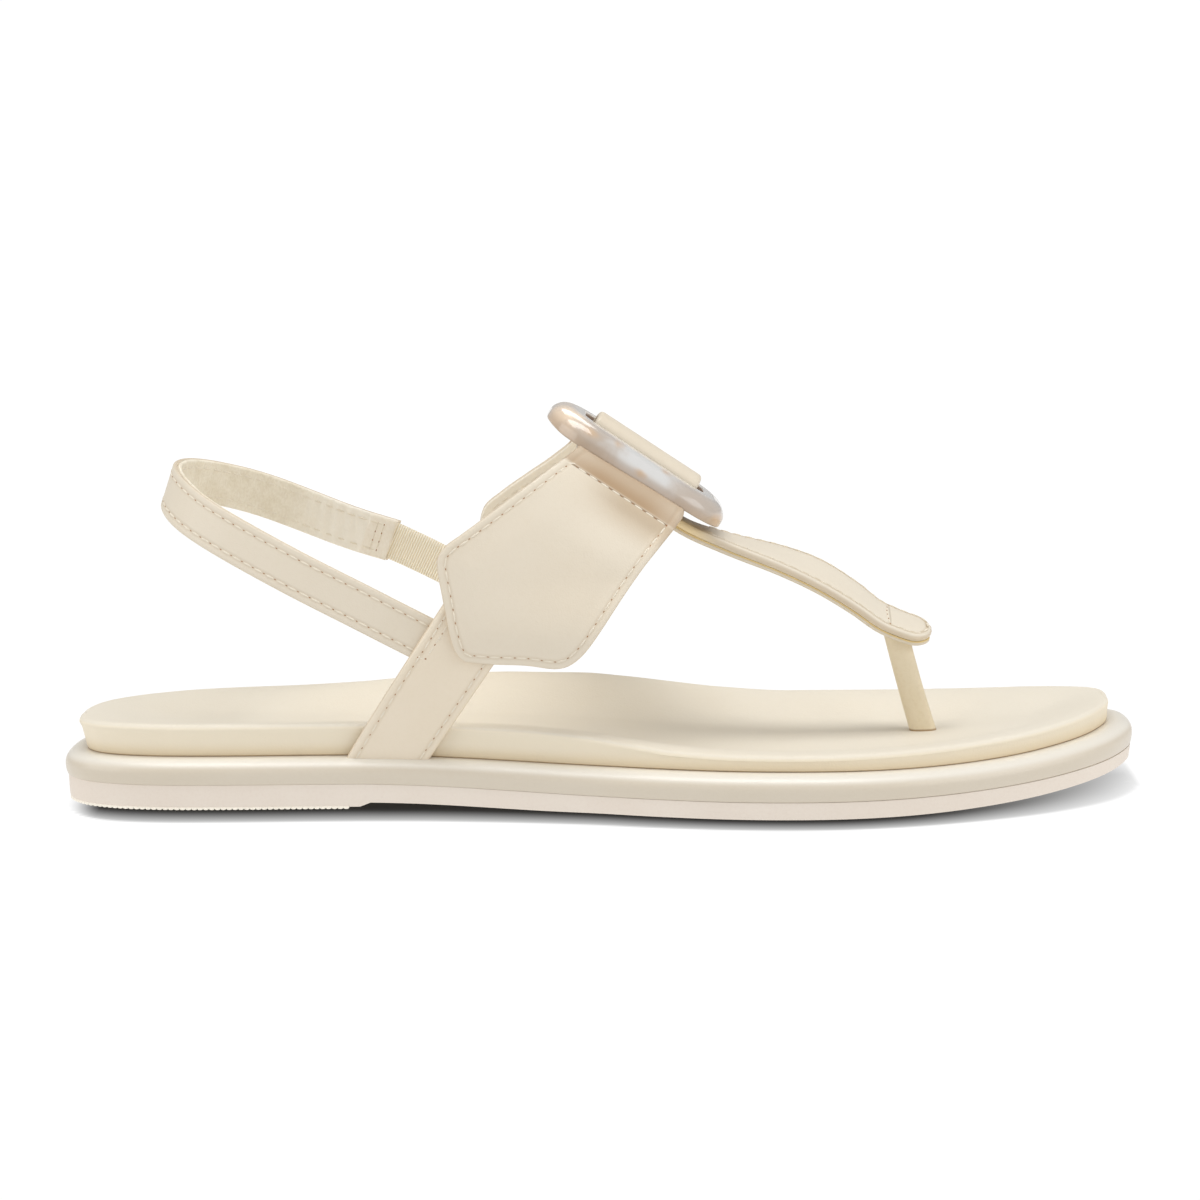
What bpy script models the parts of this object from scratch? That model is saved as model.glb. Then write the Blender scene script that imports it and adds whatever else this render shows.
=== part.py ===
"""A t-strap sandal for the right foot, made as its maker would put it together.

The sole is three layers cut from one plan outline. The upper is a set of straps laid over a foot
form and joined where they cross. A post, an elastic and a resin buckle complete it.
The toe points along +X, the inner (medial) side of the foot is +Y, and the floor is z = 0.
"""

import math

import bmesh
import bpy
import numpy as np
from mathutils import Vector

# Driving sizes, in millimetres
SOLE_LENGTH = 263.4
BALL_WIDTH = 92.0
INSTEP_HEIGHT = 80.0       # floor to the middle of the buckle
INSTEP_FORWARD = 8.0       # middle of the buckle, forward of the middle of the sole
INSTEP_SLOPE = math.radians(33.3)
MM = 0.001
GAP = 0.3                  # clearance between neighbouring pieces
ORIGIN = Vector((0.2, 0.0, 0.0))   # middle of the finished sandal in the tables' own frame

# Layers of the sole: heights above the floor at the heel and at the ball
OUTSOLE_HEEL = 6.1
OUTSOLE_BALL = 4.3
RAND_TOP_HEEL = 12.3
RAND_TOP_BALL = 10.7
HEEL_END = -62.0           # the thick heel fades into the thin forefoot between these two
BALL_START = 2.0
HEEL_BREAST = -59.8        # front edge of the heel block
BREAST_RUN = 3.6
BREAST_RISE = 1.45
ARCH_FADE = 52.0           # length over which the hollow ahead of the heel block runs out
TOE_SPRING = 5.6
SPRING_START = 55.0
SPRING_POWER = 2.5
OUTSOLE_INSET_HEEL = 1.0   # outsole edge inside the rand
OUTSOLE_INSET_TOE = 0.7
OUTSOLE_EDGE = 0.8         # rounding of the floor edge
RAND_UNDERCUT = 1.1
RAND_TUCK = 1.5            # rounding of the rand on to the outsole
RAND_SHOULDER = 4.6
RAND_WAIST = 0.45          # height of the widest line of the rand, as a share of its height
CREASE_HEEL = 5.5          # foot of the footbed's wall inside the rand
CREASE_TOE = 6.4
RIM_HEEL = 3.5             # rim of the footbed inside the rand
RIM_TOE = 6.0
RIM_ROUND = 1.3
FOOT_ROUND = 0.9           # rounding at the foot of the wall
CUP_REACH = 19.0           # width of the slope from the rim down into the footbed

# Straps
STRAP_WALL = 2.1
PANEL_LIFT = 1.7           # the instep band lies this far over the side straps
SIDE_LATERAL = (-22.5, -4.3)
SIDE_MEDIAL = (-18.5, -0.3)
SIDE_TOP_DROP = 40.0
SIDE_TAPER = 1.3           # the back edge draws in towards the foot
LOOP_WIDTH = (-14.5, 15.3)
LOOP_WALL = 2.0
T_WALL = 3.3
SLING_WIDTH = 10.8
SLING_WALL = 2.2
GORE_WIDTH = 9.6
GORE_WALL = 1.0
POST_LONG = 3.35           # half sizes of the toe post
POST_WIDE = 2.6
POST_FLARE = 0.25          # how much longer its head is than its foot

# Buckle: half sizes of its outline, of its hole and of the bar along the hole
RING_LONG = 25.0
RING_WIDE = 16.5
RING_CORNER = 13.5
RING_THICK = 5.3
RING_BASE = -1.5           # its flat underside, below the instep point
HOLE_LONG = 17.2
HOLE_WIDE = 6.2
HOLE_CORNER = 2.4
BAR_WIDE = 3.5
BAR_THICK = 1.2
BAR_RISE = 1.0
BAR_TENON = 1.5            # how far the bar runs into the ring
SQUARE_POWER = 0.72

# The tables are drawn for one size, and graded to the driving sizes by the names of their columns
LONGER = SOLE_LENGTH / 263.4
WIDER = BALL_WIDTH / 92.0
TALLER = INSTEP_HEIGHT / 80.0
GRADE = {"x": LONGER, "back": LONGER, "front": LONGER, "y": WIDER, "lateral": WIDER, "medial": WIDER,
         "half": WIDER, "z": TALLER, "drop": TALLER}


def table(columns, rows):
    return np.array(rows) * [GRADE.get(name, 1.0) for name in columns]


# Plan outline of the rand: a row for each station from heel to toe
PLAN = table(("x", "lateral", "medial"), (
    (-131.5, -13.4, -5.6), (-130.5, -18.8, 2.2), (-128.2, -23.3, 9.0), (-124.0, -27.6, 15.8),
    (-116.0, -31.2, 23.2), (-104.0, -33.0, 29.0), (-88.0, -32.8, 31.0), (-72.0, -31.9, 30.2),
    (-59.8, -31.4, 29.2), (-56.2, -31.3, 29.0), (-40.0, -31.5, 28.6), (-22.0, -33.4, 30.2),
    (-4.0, -36.9, 33.6), (12.0, -41.5, 37.3), (28.0, -44.9, 41.2), (43.0, -46.0, 44.4),
    (58.0, -44.9, 46.0), (74.0, -40.9, 46.1), (90.0, -34.3, 45.1), (104.0, -26.6, 43.1),
    (115.0, -18.2, 40.1), (123.4, -9.4, 35.7), (128.9, 0.0, 30.1), (131.9, 9.6, 22.4)))

# Footbed: heights above the foot of its wall, at the two rims and along the middle
FOOTBED = table(("x", "lateral_rim", "medial_rim", "middle"), (
    (-131.5, 7.6, 7.6, 5.1), (-118.0, 8.0, 7.6, 4.6), (-85.0, 8.0, 8.4, 4.5), (-62.0, 8.0, 9.9, 4.7),
    (-42.0, 8.0, 12.2, 5.4), (-22.0, 8.0, 13.5, 5.6), (-6.0, 7.4, 13.3, 5.0), (6.0, 6.0, 12.0, 4.0),
    (17.0, 4.8, 10.3, 3.0), (30.0, 4.2, 8.4, 2.3), (48.0, 4.0, 6.9, 1.8), (80.0, 4.3, 6.8, 1.7),
    (105.0, 4.5, 6.4, 2.1), (122.0, 5.0, 5.6, 2.7), (131.9, 5.3, 5.2, 3.0)))

# Foot form under the instep band, square to the slope: half width, and drop below the buckle's middle
ARCH = table(("half", "drop"), (
    (0.0, 4.6), (7.0, 4.6), (13.0, 4.65), (17.0, 5.3), (21.2, 8.6), (25.6, 15.2), (29.0, 24.5),
    (31.4, 34.0), (33.0, 43.0), (33.8, 51.0), (34.0, 58.0), (33.0, 70.0), (31.0, 82.0), (28.0, 94.0),
    (26.0, 104.0)))

# Foot form low on the sides, where the straps hug the footbed's wall: half widths by height
WALL = table(("z", "lateral", "medial"), (
    (8.0, 26.7, 23.7), (12.5, 27.5, 24.4), (16.5, 28.3, 25.3), (20.5, 29.2, 26.3), (24.5, 30.2, 27.4),
    (30.0, 31.8, 29.2), (36.0, 33.1, 31.0), (43.0, 34.0, 32.3), (50.0, 33.8, 32.6), (60.0, 32.4, 31.8)))
WALL_BLEND = (38.0, 56.0)

# Instep band: a row for each line across it, with its back and front edges along the slope
BAND_COLUMNS = ("drop", "back", "front")
BAND_LATERAL = table(BAND_COLUMNS, (
    (5.0, -15.6, 15.3), (7.3, -16.7, 14.8), (11.2, -18.6, 14.1), (18.6, -21.8, 13.1), (28.7, -25.8, 12.6),
    (34.5, -28.1, 12.5), (38.3, -29.6, 12.4), (40.8, -29.9, 12.2), (42.6, -29.3, 11.9), (45.5, -26.9, 10.9),
    (47.8, -24.6, 8.9), (51.2, -21.3, 2.2), (55.5, -17.0, -4.9), (57.7, -13.8, -9.0), (58.4, -12.0, -10.4)))
BAND_MEDIAL = table(BAND_COLUMNS, (
    (5.0, -15.2, 15.3), (6.9, -15.3, 14.9), (13.4, -17.2, 14.5), (19.1, -19.4, 14.2), (27.5, -22.5, 13.7),
    (33.1, -24.0, 13.3), (36.5, -23.1, 12.7), (41.5, -19.0, 8.6), (46.5, -14.0, 1.5), (50.0, -10.5, -4.6)))

# Loop of the band over the buckle's bar: across the foot, and rise above the buckle's middle
LOOP = table(("y", "rise"), (
    (-8.6, -3.6), (-6.4, -3.0), (-4.95, -1.6), (-4.85, 0.4), (-4.8, 2.4), (-4.2, 4.1), (-2.4, 5.2),
    (0.0, 5.5), (2.4, 5.2), (4.2, 4.1), (4.8, 2.4), (4.85, 0.4), (4.95, -1.6), (6.4, -3.0), (8.6, -3.6)))

# Section of the buckle's ring, from its outer edge (0) to its hole (1), as shares of its thickness
RING_SECTION = table(("inward", "height"), (
    (0.05, 0.0), (0.95, 0.0), (1.0, 0.05), (1.0, 0.95), (0.96, 1.0), (0.62, 1.0), (0.42, 0.95),
    (0.24, 0.84), (0.10, 0.66), (0.01, 0.42), (0.0, 0.18), (0.03, 0.04)))

# T-strap: middle of its wall, half width, and tilt of its inner edge upward
T_STRAP = table(("x", "y", "z", "half", "tilt"), (
    (-2.4, 0.0, 80.6, 7.4, 0.0), (9.3, 0.0, 72.8, 7.4, -1.0), (18.8, 0.0, 65.3, 7.5, -2.0),
    (30.0, 0.6, 60.6, 7.6, 3.0), (43.3, 2.0, 56.2, 7.7, 12.0), (53.0, 3.6, 52.0, 7.4, 19.0),
    (61.6, 5.1, 46.6, 7.0, 20.0), (68.2, 6.4, 41.6, 6.8, 18.0), (75.0, 7.6, 38.4, 6.6, 17.0),
    (79.2, 8.2, 37.4, 5.6, 16.0), (81.4, 8.5, 37.1, 3.0, 16.0)))

# Heel sling, from the lateral side strap round the heel: its middle line, and the lean of its face
RIBBON_COLUMNS = ("x", "y", "z", "lean")
SLING = table(RIBBON_COLUMNS, (
    (-34.0, -31.6, 37.3, -9.0), (-43.7, -32.2, 42.1, -5.0), (-57.9, -31.0, 49.2, 2.0),
    (-75.5, -27.0, 57.6, 6.0), (-92.7, -19.5, 66.0, 12.0), (-101.7, -11.8, 71.0, 18.0),
    (-105.9, -1.5, 74.8, 18.0), (-103.2, 8.0, 75.4, 14.0), (-95.0, 17.0, 73.2, 10.0),
    (-83.5, 23.2, 69.2, 6.0), (-64.5, 29.5, 61.0, 2.0), (-52.8, 31.6, 57.0, 0.0)))

# Elastic gore, from the end of the sling down behind the medial panel
GORE = table(RIBBON_COLUMNS, (
    (-51.9, 31.6, 56.5, 0.0), (-46.0, 31.3, 53.8, 0.0), (-40.0, 30.7, 50.9, 0.0), (-34.0, 29.8, 48.1, -2.0),
    (-26.0, 28.8, 44.6, -4.0)))
SLING_MIDDLE = (-70.0, 0.0)

# Toe post: middle of its foot and of its head
POST_FOOT = (79.3, 8.0)
POST_HEAD = (73.0, 7.4)


def pchip(xs, ys, x):
    """Smooth curve through table rows that never overshoots them."""
    x = np.asarray(x, float)
    h = np.diff(xs)
    d = np.diff(ys) / h
    slope = np.empty(len(xs))
    slope[0], slope[-1] = d[0], d[-1]
    for i in range(1, len(xs) - 1):
        same_way = d[i - 1] * d[i] > 0
        slope[i] = 2 * d[i - 1] * d[i] / (d[i - 1] + d[i]) if same_way else 0.0
    k = np.clip(np.searchsorted(xs, x) - 1, 0, len(xs) - 2)
    t = np.clip((x - xs[k]) / h[k], 0, 1)
    a = ys[k] * (1 + 2 * t) * (1 - t) ** 2 + ys[k + 1] * t * t * (3 - 2 * t)
    return a + h[k] * (slope[k] * t * (1 - t) ** 2 - slope[k + 1] * t * t * (1 - t))


def through(rows, u):
    """Point on the smooth curve that passes through a table's rows at u = 0, 1, 2 ..."""
    last = len(rows) - 1
    i = int(min(max(math.floor(u), 0), last - 1))
    t = u - i
    p1, p2 = rows[i], rows[i + 1]
    p0 = rows[i - 1] if i > 0 else 2 * p1 - p2
    p3 = rows[i + 2] if i + 2 <= last else 2 * p2 - p1
    return 0.5 * (2 * p1 + (p2 - p0) * t + (2 * p0 - 5 * p1 + 4 * p2 - p3) * t ** 2
                  + (3 * p1 - p0 - 3 * p2 + p3) * t ** 3)


def ease(t):
    t = np.clip(t, 0, 1)
    return t * t * (3 - 2 * t)


# Heights along the sole
def heel_share(x):
    return 1 - ease((x - HEEL_END) / (BALL_START - HEEL_END))


def toe_spring(x):
    reach = PLAN[-1, 0] - SPRING_START
    return TOE_SPRING * np.clip((x - SPRING_START) / reach, 0, None) ** SPRING_POWER


def floor_height(x):
    step = BREAST_RISE * np.clip((x - HEEL_BREAST) / BREAST_RUN, 0, 1)
    return step * (1 - ease((x - HEEL_BREAST) / ARCH_FADE)) + toe_spring(x)


def welt_height(x):
    return OUTSOLE_BALL + (OUTSOLE_HEEL - OUTSOLE_BALL) * heel_share(x) + 0.85 * toe_spring(x)


def crease_height(x):
    return RAND_TOP_BALL + (RAND_TOP_HEEL - RAND_TOP_BALL) * heel_share(x) + toe_spring(x)


def rim_height(x, share):
    """Height of the footbed's rim, from the lateral side (share 0) to the medial one (share 1)."""
    lateral = pchip(FOOTBED[:, 0], FOOTBED[:, 1], x)
    medial = pchip(FOOTBED[:, 0], FOOTBED[:, 2], x)
    return crease_height(x) + lateral + (medial - lateral) * share


def taper(x, heel, toe):
    return heel + (toe - heel) * ease((x - PLAN[0, 0]) / SOLE_LENGTH)


# Plan of the sole
def plan_outline(steps=3):
    """Closed outline of the rand and its outward normals: lateral side to the toe, then back."""
    knots = np.vstack([PLAN[:, [0, 1]], PLAN[::-1, [0, 2]]])
    count = len(knots)
    points = []
    for i in range(count):
        end_span = i in (len(PLAN) - 1, count - 1)
        around = knots[[(i - 1) % count, i, (i + 1) % count, (i + 2) % count]]
        for s in range(1 if end_span else steps):
            points.append(through(around, 1 + s / steps))
    points = np.array(points)
    along = np.roll(points, -1, axis=0) - np.roll(points, 1, axis=0)
    along /= np.linalg.norm(along, axis=1)[:, None]
    return points, np.column_stack([along[:, 1], -along[:, 0]])


OUTLINE, OUTWARD = plan_outline()
HALF = len(OUTLINE) // 2
SIDE_SHARE = np.repeat((0.0, 1.0), HALF)


def contour(inset, height):
    """One loop of a sole layer: the outline drawn in by inset, at a height worked out from x."""
    x = OUTLINE[:, 0]
    depth = inset(x) if callable(inset) else np.full(len(x), inset)
    plan = OUTLINE - OUTWARD * depth[:, None]
    return np.column_stack([plan, height(plan[:, 0])])


def new_object(name, bm, collection):
    mesh = bpy.data.meshes.new(name)
    bmesh.ops.recalc_face_normals(bm, faces=bm.faces)
    bm.to_mesh(mesh)
    bm.free()
    obj = bpy.data.objects.new(name, mesh)
    collection.objects.link(obj)
    return obj


def add_points(bm, points):
    return [bm.verts.new((Vector(p) - ORIGIN) * MM) for p in points]


def cap(bm, loop, columns=()):
    """Closes a loop of the sole with rungs from the lateral to the medial side."""
    rungs = []
    for i in range(HALF):
        left, right = loop[i], loop[-1 - i]
        inner = columns[i] if len(columns) and 0 < i < HALF - 1 else ()
        rungs.append([left] + add_points(bm, inner) + [right])
    for a, b in zip(rungs, rungs[1:]):
        if len(a) == len(b):
            for j in range(len(a) - 1):
                bm.faces.new((a[j], a[j + 1], b[j + 1], b[j]))
        else:
            bm.faces.new(a + b[::-1])


def sole_layer(name, rings, collection, columns=()):
    """A layer of the sole: loops bridged from the bottom up, closed below and above."""
    bm = bmesh.new()
    loops = [add_points(bm, r) for r in rings]
    for low, high in zip(loops, loops[1:]):
        for i in range(len(low)):
            j = (i + 1) % len(low)
            bm.faces.new((low[i], low[j], high[j], high[i]))
    cap(bm, loops[0])
    cap(bm, loops[-1], columns)
    return new_object(name, bm, collection)


def make_outsole(collection):
    def edge(x):
        return taper(x, OUTSOLE_INSET_HEEL, OUTSOLE_INSET_TOE)

    rings = (contour(lambda x: edge(x) + OUTSOLE_EDGE, floor_height),
             contour(edge, lambda x: floor_height(x) + OUTSOLE_EDGE),
             contour(edge, welt_height))
    return sole_layer("outsole", rings, collection)


def make_midsole(collection):
    def level(rise):
        def height(x):
            low = welt_height(x) + GAP
            waist = low + RAND_WAIST * (crease_height(x) - low)
            return waist + rise * np.where(rise < 0, waist - low, crease_height(x) - waist)
        return height

    rings = [contour(RAND_UNDERCUT + RAND_TUCK, level(-1.0))]
    for degrees in (-70, -40, 0, 25, 50, 72, 90):
        angle = math.radians(degrees)
        depth = RAND_UNDERCUT if angle < 0 else RAND_SHOULDER
        rings.append(contour(depth * (1 - math.cos(angle)), level(math.sin(angle))))
    return sole_layer("midsole", rings, collection)


def footbed_wall(x, rise):
    """Inset of the footbed's wall: it leans out from the crease (rise 0) to the rim (rise 1)."""
    foot = taper(x, CREASE_HEEL, CREASE_TOE)
    return foot + (taper(x, RIM_HEEL, RIM_TOE) - foot) * rise


def footbed_top(points, share, rim):
    """Heights of the footbed's top: from the rim it slopes into a hollow along the middle."""
    away = np.array([np.hypot(*(rim[:, :2] - p).T).min() for p in points])
    edge = rim_height(points[:, 0], share)
    middle = crease_height(points[:, 0]) + pchip(FOOTBED[:, 0], FOOTBED[:, 3], points[:, 0])
    return edge + (middle - edge) * ease(away / CUP_REACH)


def make_footbed(collection):
    def level(rise, below):
        def height(x):
            foot = crease_height(x) + GAP
            return foot + (rim_height(x, SIDE_SHARE) - foot) * rise - below
        return height

    def wall(rise, extra):
        return lambda x: footbed_wall(x, rise) + extra

    rings = (contour(wall(0, FOOT_ROUND), level(0, 0)),
             contour(wall(0, 0), level(0.1, 0)),
             contour(wall(0.5, 0), level(0.5, 0)),
             contour(wall(1, 0), level(1, RIM_ROUND)),
             contour(wall(1, 0.3 * RIM_ROUND), level(1, 0.3 * RIM_ROUND)),
             contour(wall(1, RIM_ROUND), level(1, 0)))
    rim = rings[-1]
    columns = []
    for i in range(HALF):
        a, b = rim[i, :2], rim[-1 - i, :2]
        share = np.array((0.06, 0.14, 0.25, 0.38, 0.5, 0.62, 0.75, 0.86, 0.94))
        flat = a + (b - a) * share[:, None]
        columns.append(np.column_stack([flat, footbed_top(flat, share, rim)]))
    return sole_layer("footbed", rings, collection, columns), rim


# Instep: straps laid over the foot form, square to the slope of the instep
ARCH_STEPS = np.linspace(0, len(ARCH) - 1, 261)
ARCH_DROPS = np.array([through(ARCH, u)[1] for u in ARCH_STEPS])


def arc_at(drop):
    return float(np.interp(drop, ARCH_DROPS, ARCH_STEPS))


def slope_point(along, y, rise):
    """Point given along the slope (toe positive), across the foot and square to the slope."""
    x = INSTEP_FORWARD + rise * math.sin(INSTEP_SLOPE) + along * math.cos(INSTEP_SLOPE)
    z = INSTEP_HEIGHT + rise * math.cos(INSTEP_SLOPE) - along * math.sin(INSTEP_SLOPE)
    return np.array((x, y, z))


def foot_section(along, arc, side):
    """Half width and drop of the foot form at one place on the arch."""
    half, drop = through(ARCH, abs(arc)) * (math.copysign(1, arc), 1)
    z = slope_point(along, 0, -drop)[2]
    low = 1 - ease((z - WALL_BLEND[0]) / (WALL_BLEND[1] - WALL_BLEND[0]))
    wall = pchip(WALL[:, 0], WALL[:, 1 if side < 0 else 2], z)
    return np.array((half + (wall - half) * low, drop))


def foot_point(along, arc, side, lift):
    """Point on the foot form, lifted square to it."""
    here = foot_section(along, arc, side)
    run = foot_section(along, arc + 0.02, side) - foot_section(along, arc - 0.02, side)
    out = np.array((run[1], -run[0])) / np.hypot(*run)
    half, drop = here + lift * out
    return slope_point(along, side * half, -drop)


def grid_shell(name, rows, wall, collection):
    """A strap: a sheet through rows of points, with a wall of even thickness."""
    rows = np.asarray(rows)
    bm = bmesh.new()
    lines = [add_points(bm, row) for row in rows]
    for a, b in zip(lines, lines[1:]):
        for j in range(len(a) - 1):
            bm.faces.new((a[j], a[j + 1], b[j + 1], b[j]))
    obj = new_object(name, bm, collection)
    solid = obj.modifiers.new("wall", "SOLIDIFY")
    solid.thickness = wall * MM
    solid.offset = 0
    solid.use_even_offset = True
    return obj


def instep_band(collection):
    rows = []
    across = np.linspace(0, 1, 10)
    for side, table, count in ((-1, BAND_LATERAL, 25), (1, BAND_MEDIAL, 22)):
        arcs = np.linspace(arc_at(table[-1, 0]), 0, count)
        if side > 0:
            arcs = arcs[-2::-1]
        for arc in arcs:
            drop = max(through(ARCH, arc)[1], table[0, 0])
            back = pchip(table[:, 0], table[:, 1], drop)
            front = pchip(table[:, 0], table[:, 2], drop)
            rows.append([foot_point(back + (front - back) * f, arc, side, PANEL_LIFT) for f in across])
    return grid_shell("instep_band", rows, STRAP_WALL, collection)


def side_strap(name, edges, side, collection):
    rows = []
    top = arc_at(SIDE_TOP_DROP)
    for v in np.linspace(0, 1, 18):
        row = []
        for along in np.linspace(edges[0] + SIDE_TAPER * v ** 3, edges[1], 6):
            foot = arc_at(SIDE_TOP_DROP)
            for _ in range(8):
                x, _, z = foot_point(along, foot, side, 0)
                foot += (z - crease_height(x) - 2 * GAP) / 8.5
            row.append(foot_point(along, top + (foot - top) * v, side, 0))
        rows.append(row)
    return grid_shell(name, rows, STRAP_WALL, collection)


def bar_loop(collection):
    rows = []
    for u in np.linspace(0, len(LOOP) - 1, 43):
        y, rise = through(LOOP, u)
        rows.append([slope_point(along, y, rise) for along in np.linspace(*LOOP_WIDTH, 5)])
    return grid_shell("bar_loop", rows, LOOP_WALL, collection)


def t_strap_at(u, f):
    """Point on the middle of the T-strap's wall, f from -1 (lateral edge) to 1 (medial edge)."""
    x, y, z, half, tilt = through(T_STRAP, u)
    reach = half * f
    return np.array((x, y + reach * math.cos(math.radians(tilt)), z + reach * math.sin(math.radians(tilt))))


def t_strap(collection):
    rows = [[t_strap_at(u, f) for f in np.linspace(-1, 1, 6)] for u in np.linspace(0, len(T_STRAP) - 1, 36)]
    return grid_shell("t_strap", rows, T_WALL, collection)


def ribbon_frame(table, u):
    """Middle, width direction and outward normal of a ribbon that stands on edge round the heel."""
    x, y, z, lean = through(table, u)
    ahead = through(table, u + 0.02)[:3] - through(table, u - 0.02)[:3]
    ahead /= np.linalg.norm(ahead)
    out = np.array((x - SLING_MIDDLE[0], y - SLING_MIDDLE[1], 0.0)) * (0.35, 1.0, 1.0)
    out /= np.linalg.norm(out)
    out[2] = math.tan(math.radians(lean))
    wide = np.cross(ahead, out)
    wide /= np.linalg.norm(wide)
    if wide[2] < 0:
        wide = -wide
    return np.array((x, y, z)), wide


def ribbon(name, table, width, wall, count, collection):
    rows = []
    for u in np.linspace(0, len(table) - 1, count):
        middle, wide = ribbon_frame(table, u)
        rows.append([middle + wide * width * f for f in (-0.5, -0.17, 0.17, 0.5)])
    return grid_shell(name, rows, wall, collection)


def join(obj, piece):
    """Joins a helper piece to an object as one solid."""
    piece.hide_render = True
    piece.display_type = "WIRE"
    union = obj.modifiers.new("join_" + piece.name, "BOOLEAN")
    union.operation = "UNION"
    union.solver = "EXACT"
    union.object = piece


def make_upper(collection, pieces):
    """The straps, joined where they cross."""
    upper = instep_band(collection)
    upper.name = upper.data.name = "upper"
    straps = (side_strap("side_lateral", SIDE_LATERAL, -1, pieces),
              side_strap("side_medial", SIDE_MEDIAL, 1, pieces),
              bar_loop(pieces),
              t_strap(pieces),
              ribbon("sling", SLING, SLING_WIDTH, SLING_WALL, 50, pieces))
    for strap in straps:
        join(upper, strap)
    return upper


# Toe post, elastic and buckle
def t_strap_underside(x, y):
    """Height of the T-strap's lower face over a place on the footbed."""
    stations = np.linspace(5, len(T_STRAP) - 1, 121)
    xs = np.array([through(T_STRAP, u)[0] for u in stations])
    u = float(np.interp(x, xs, stations))
    _, middle, z, _, tilt = through(T_STRAP, u)
    ahead = through(T_STRAP, u + 0.05) - through(T_STRAP, u - 0.05)
    slope = math.atan2(ahead[2], ahead[0])
    return z + (y - middle) * math.tan(math.radians(tilt)) - 0.5 * T_WALL / math.cos(slope)


def squarish(share):
    """Turns a circle's sine or cosine into a rounded square's."""
    return math.copysign(abs(share) ** SQUARE_POWER, share)


def tube(bm, loops):
    """Bridges closed loops of points into a tube and closes its ends."""
    loops = [add_points(bm, loop) for loop in loops]
    for low, high in zip(loops, loops[1:]):
        for i in range(len(low)):
            j = (i + 1) % len(low)
            bm.faces.new((low[i], low[j], high[j], high[i]))
    bm.faces.new(loops[0][::-1])
    bm.faces.new(loops[-1])


def make_toe_post(rim, collection):
    loops = []
    for v in np.linspace(0, 1, 7):
        middle = np.array(POST_FOOT) + (np.array(POST_HEAD) - POST_FOOT) * v
        loop = []
        for turn in np.linspace(0, 2 * math.pi, 20, endpoint=False):
            x = middle[0] + (POST_LONG + POST_FLARE * v) * squarish(math.cos(turn))
            y = middle[1] + POST_WIDE * squarish(math.sin(turn))
            share = np.array([0.55])
            low = footbed_top(np.array([[x, y]]), share, rim)[0] + GAP
            high = t_strap_underside(x, y) - GAP
            loop.append((x, y, low + (high - low) * v))
        loops.append(loop)
    bm = bmesh.new()
    tube(bm, loops)
    return new_object("toe_post", bm, collection)


def rounded_rectangle(long, wide, corner, steps=8):
    """Corner arcs of a rounded rectangle, as points along and across the foot."""
    points = []
    for sx, sy, start in ((1, 1, 0), (-1, 1, 90), (-1, -1, 180), (1, -1, 270)):
        for degrees in np.linspace(start, start + 90, steps):
            turn = math.radians(degrees)
            points.append((sx * (long - corner) + corner * math.cos(turn),
                           sy * (wide - corner) + corner * math.sin(turn)))
    return np.array(points)


def make_buckle(collection, pieces):
    """A domed ring with a bar along its hole, both square to the slope of the instep."""
    outer = rounded_rectangle(RING_LONG, RING_WIDE, RING_CORNER)
    hole = rounded_rectangle(HOLE_LONG, HOLE_WIDE, HOLE_CORNER)
    bm = bmesh.new()
    loops = []
    for inward, height in RING_SECTION:
        rise = RING_BASE + RING_THICK * height
        loops.append(add_points(bm, [slope_point(*p, rise) for p in outer + (hole - outer) * inward]))
    for a, b in zip(loops, loops[1:] + loops[:1]):
        for i in range(len(a)):
            j = (i + 1) % len(a)
            bm.faces.new((a[i], a[j], b[j], b[i]))
    buckle = new_object("buckle", bm, collection)
    bar = bmesh.new()
    turns = np.linspace(0, 2 * math.pi, 16, endpoint=False)
    reach = HOLE_LONG + BAR_TENON
    tube(bar, [[slope_point(along, BAR_WIDE * math.cos(turn), BAR_RISE + BAR_THICK * math.sin(turn))
                for turn in turns] for along in (-reach, reach)])
    join(buckle, new_object("buckle_bar", bar, pieces))
    return buckle


def paint(obj, colour, roughness, metallic=0.0):
    material = bpy.data.materials.new(obj.name + "_finish")
    material.use_nodes = True
    shader = material.node_tree.nodes["Principled BSDF"]
    shader.inputs["Base Color"].default_value = (*colour, 1.0)
    shader.inputs["Roughness"].default_value = roughness
    shader.inputs["Metallic"].default_value = metallic
    obj.data.materials.append(material)


def clear_scene():
    for obj in list(bpy.data.objects):
        bpy.data.objects.remove(obj, do_unlink=True)


def main():
    clear_scene()
    sandal = bpy.data.collections.new("t_strap_sandal")
    pieces = bpy.data.collections.new("joined_pieces")
    bpy.context.scene.collection.children.link(sandal)
    bpy.context.scene.collection.children.link(pieces)
    paint(make_outsole(sandal), (0.78, 0.70, 0.62), 0.6)
    paint(make_midsole(sandal), (0.74, 0.65, 0.52), 0.45)
    footbed, rim = make_footbed(sandal)
    paint(footbed, (0.82, 0.75, 0.63), 0.5)
    paint(make_upper(sandal, pieces), (0.77, 0.68, 0.56), 0.5)
    paint(make_toe_post(rim, sandal), (0.71, 0.61, 0.46), 0.55)
    paint(ribbon("elastic_gore", GORE, GORE_WIDTH, GORE_WALL, 16, sandal), (0.72, 0.63, 0.48), 0.8)
    paint(make_buckle(sandal, pieces), (0.62, 0.52, 0.42), 0.15)


main()
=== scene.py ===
# %% [markdown]
# # Dressing a t-strap sandal
# The frame holds the sandal's solids at their true size: outsole, rand, footbed, straps, toe post,
# elastic and buckle. This lesson lays leather, thread, ribbed elastic and polished resin where those
# solids are. Each piece is worked out from the same curves as its solid. The toe post, the ring and
# the band under it then depart from theirs by up to a millimetre, to follow the photograph.

# %% Load the frame
import math

import bmesh
import bpy
import numpy as np
from mathutils import Matrix, Vector


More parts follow.
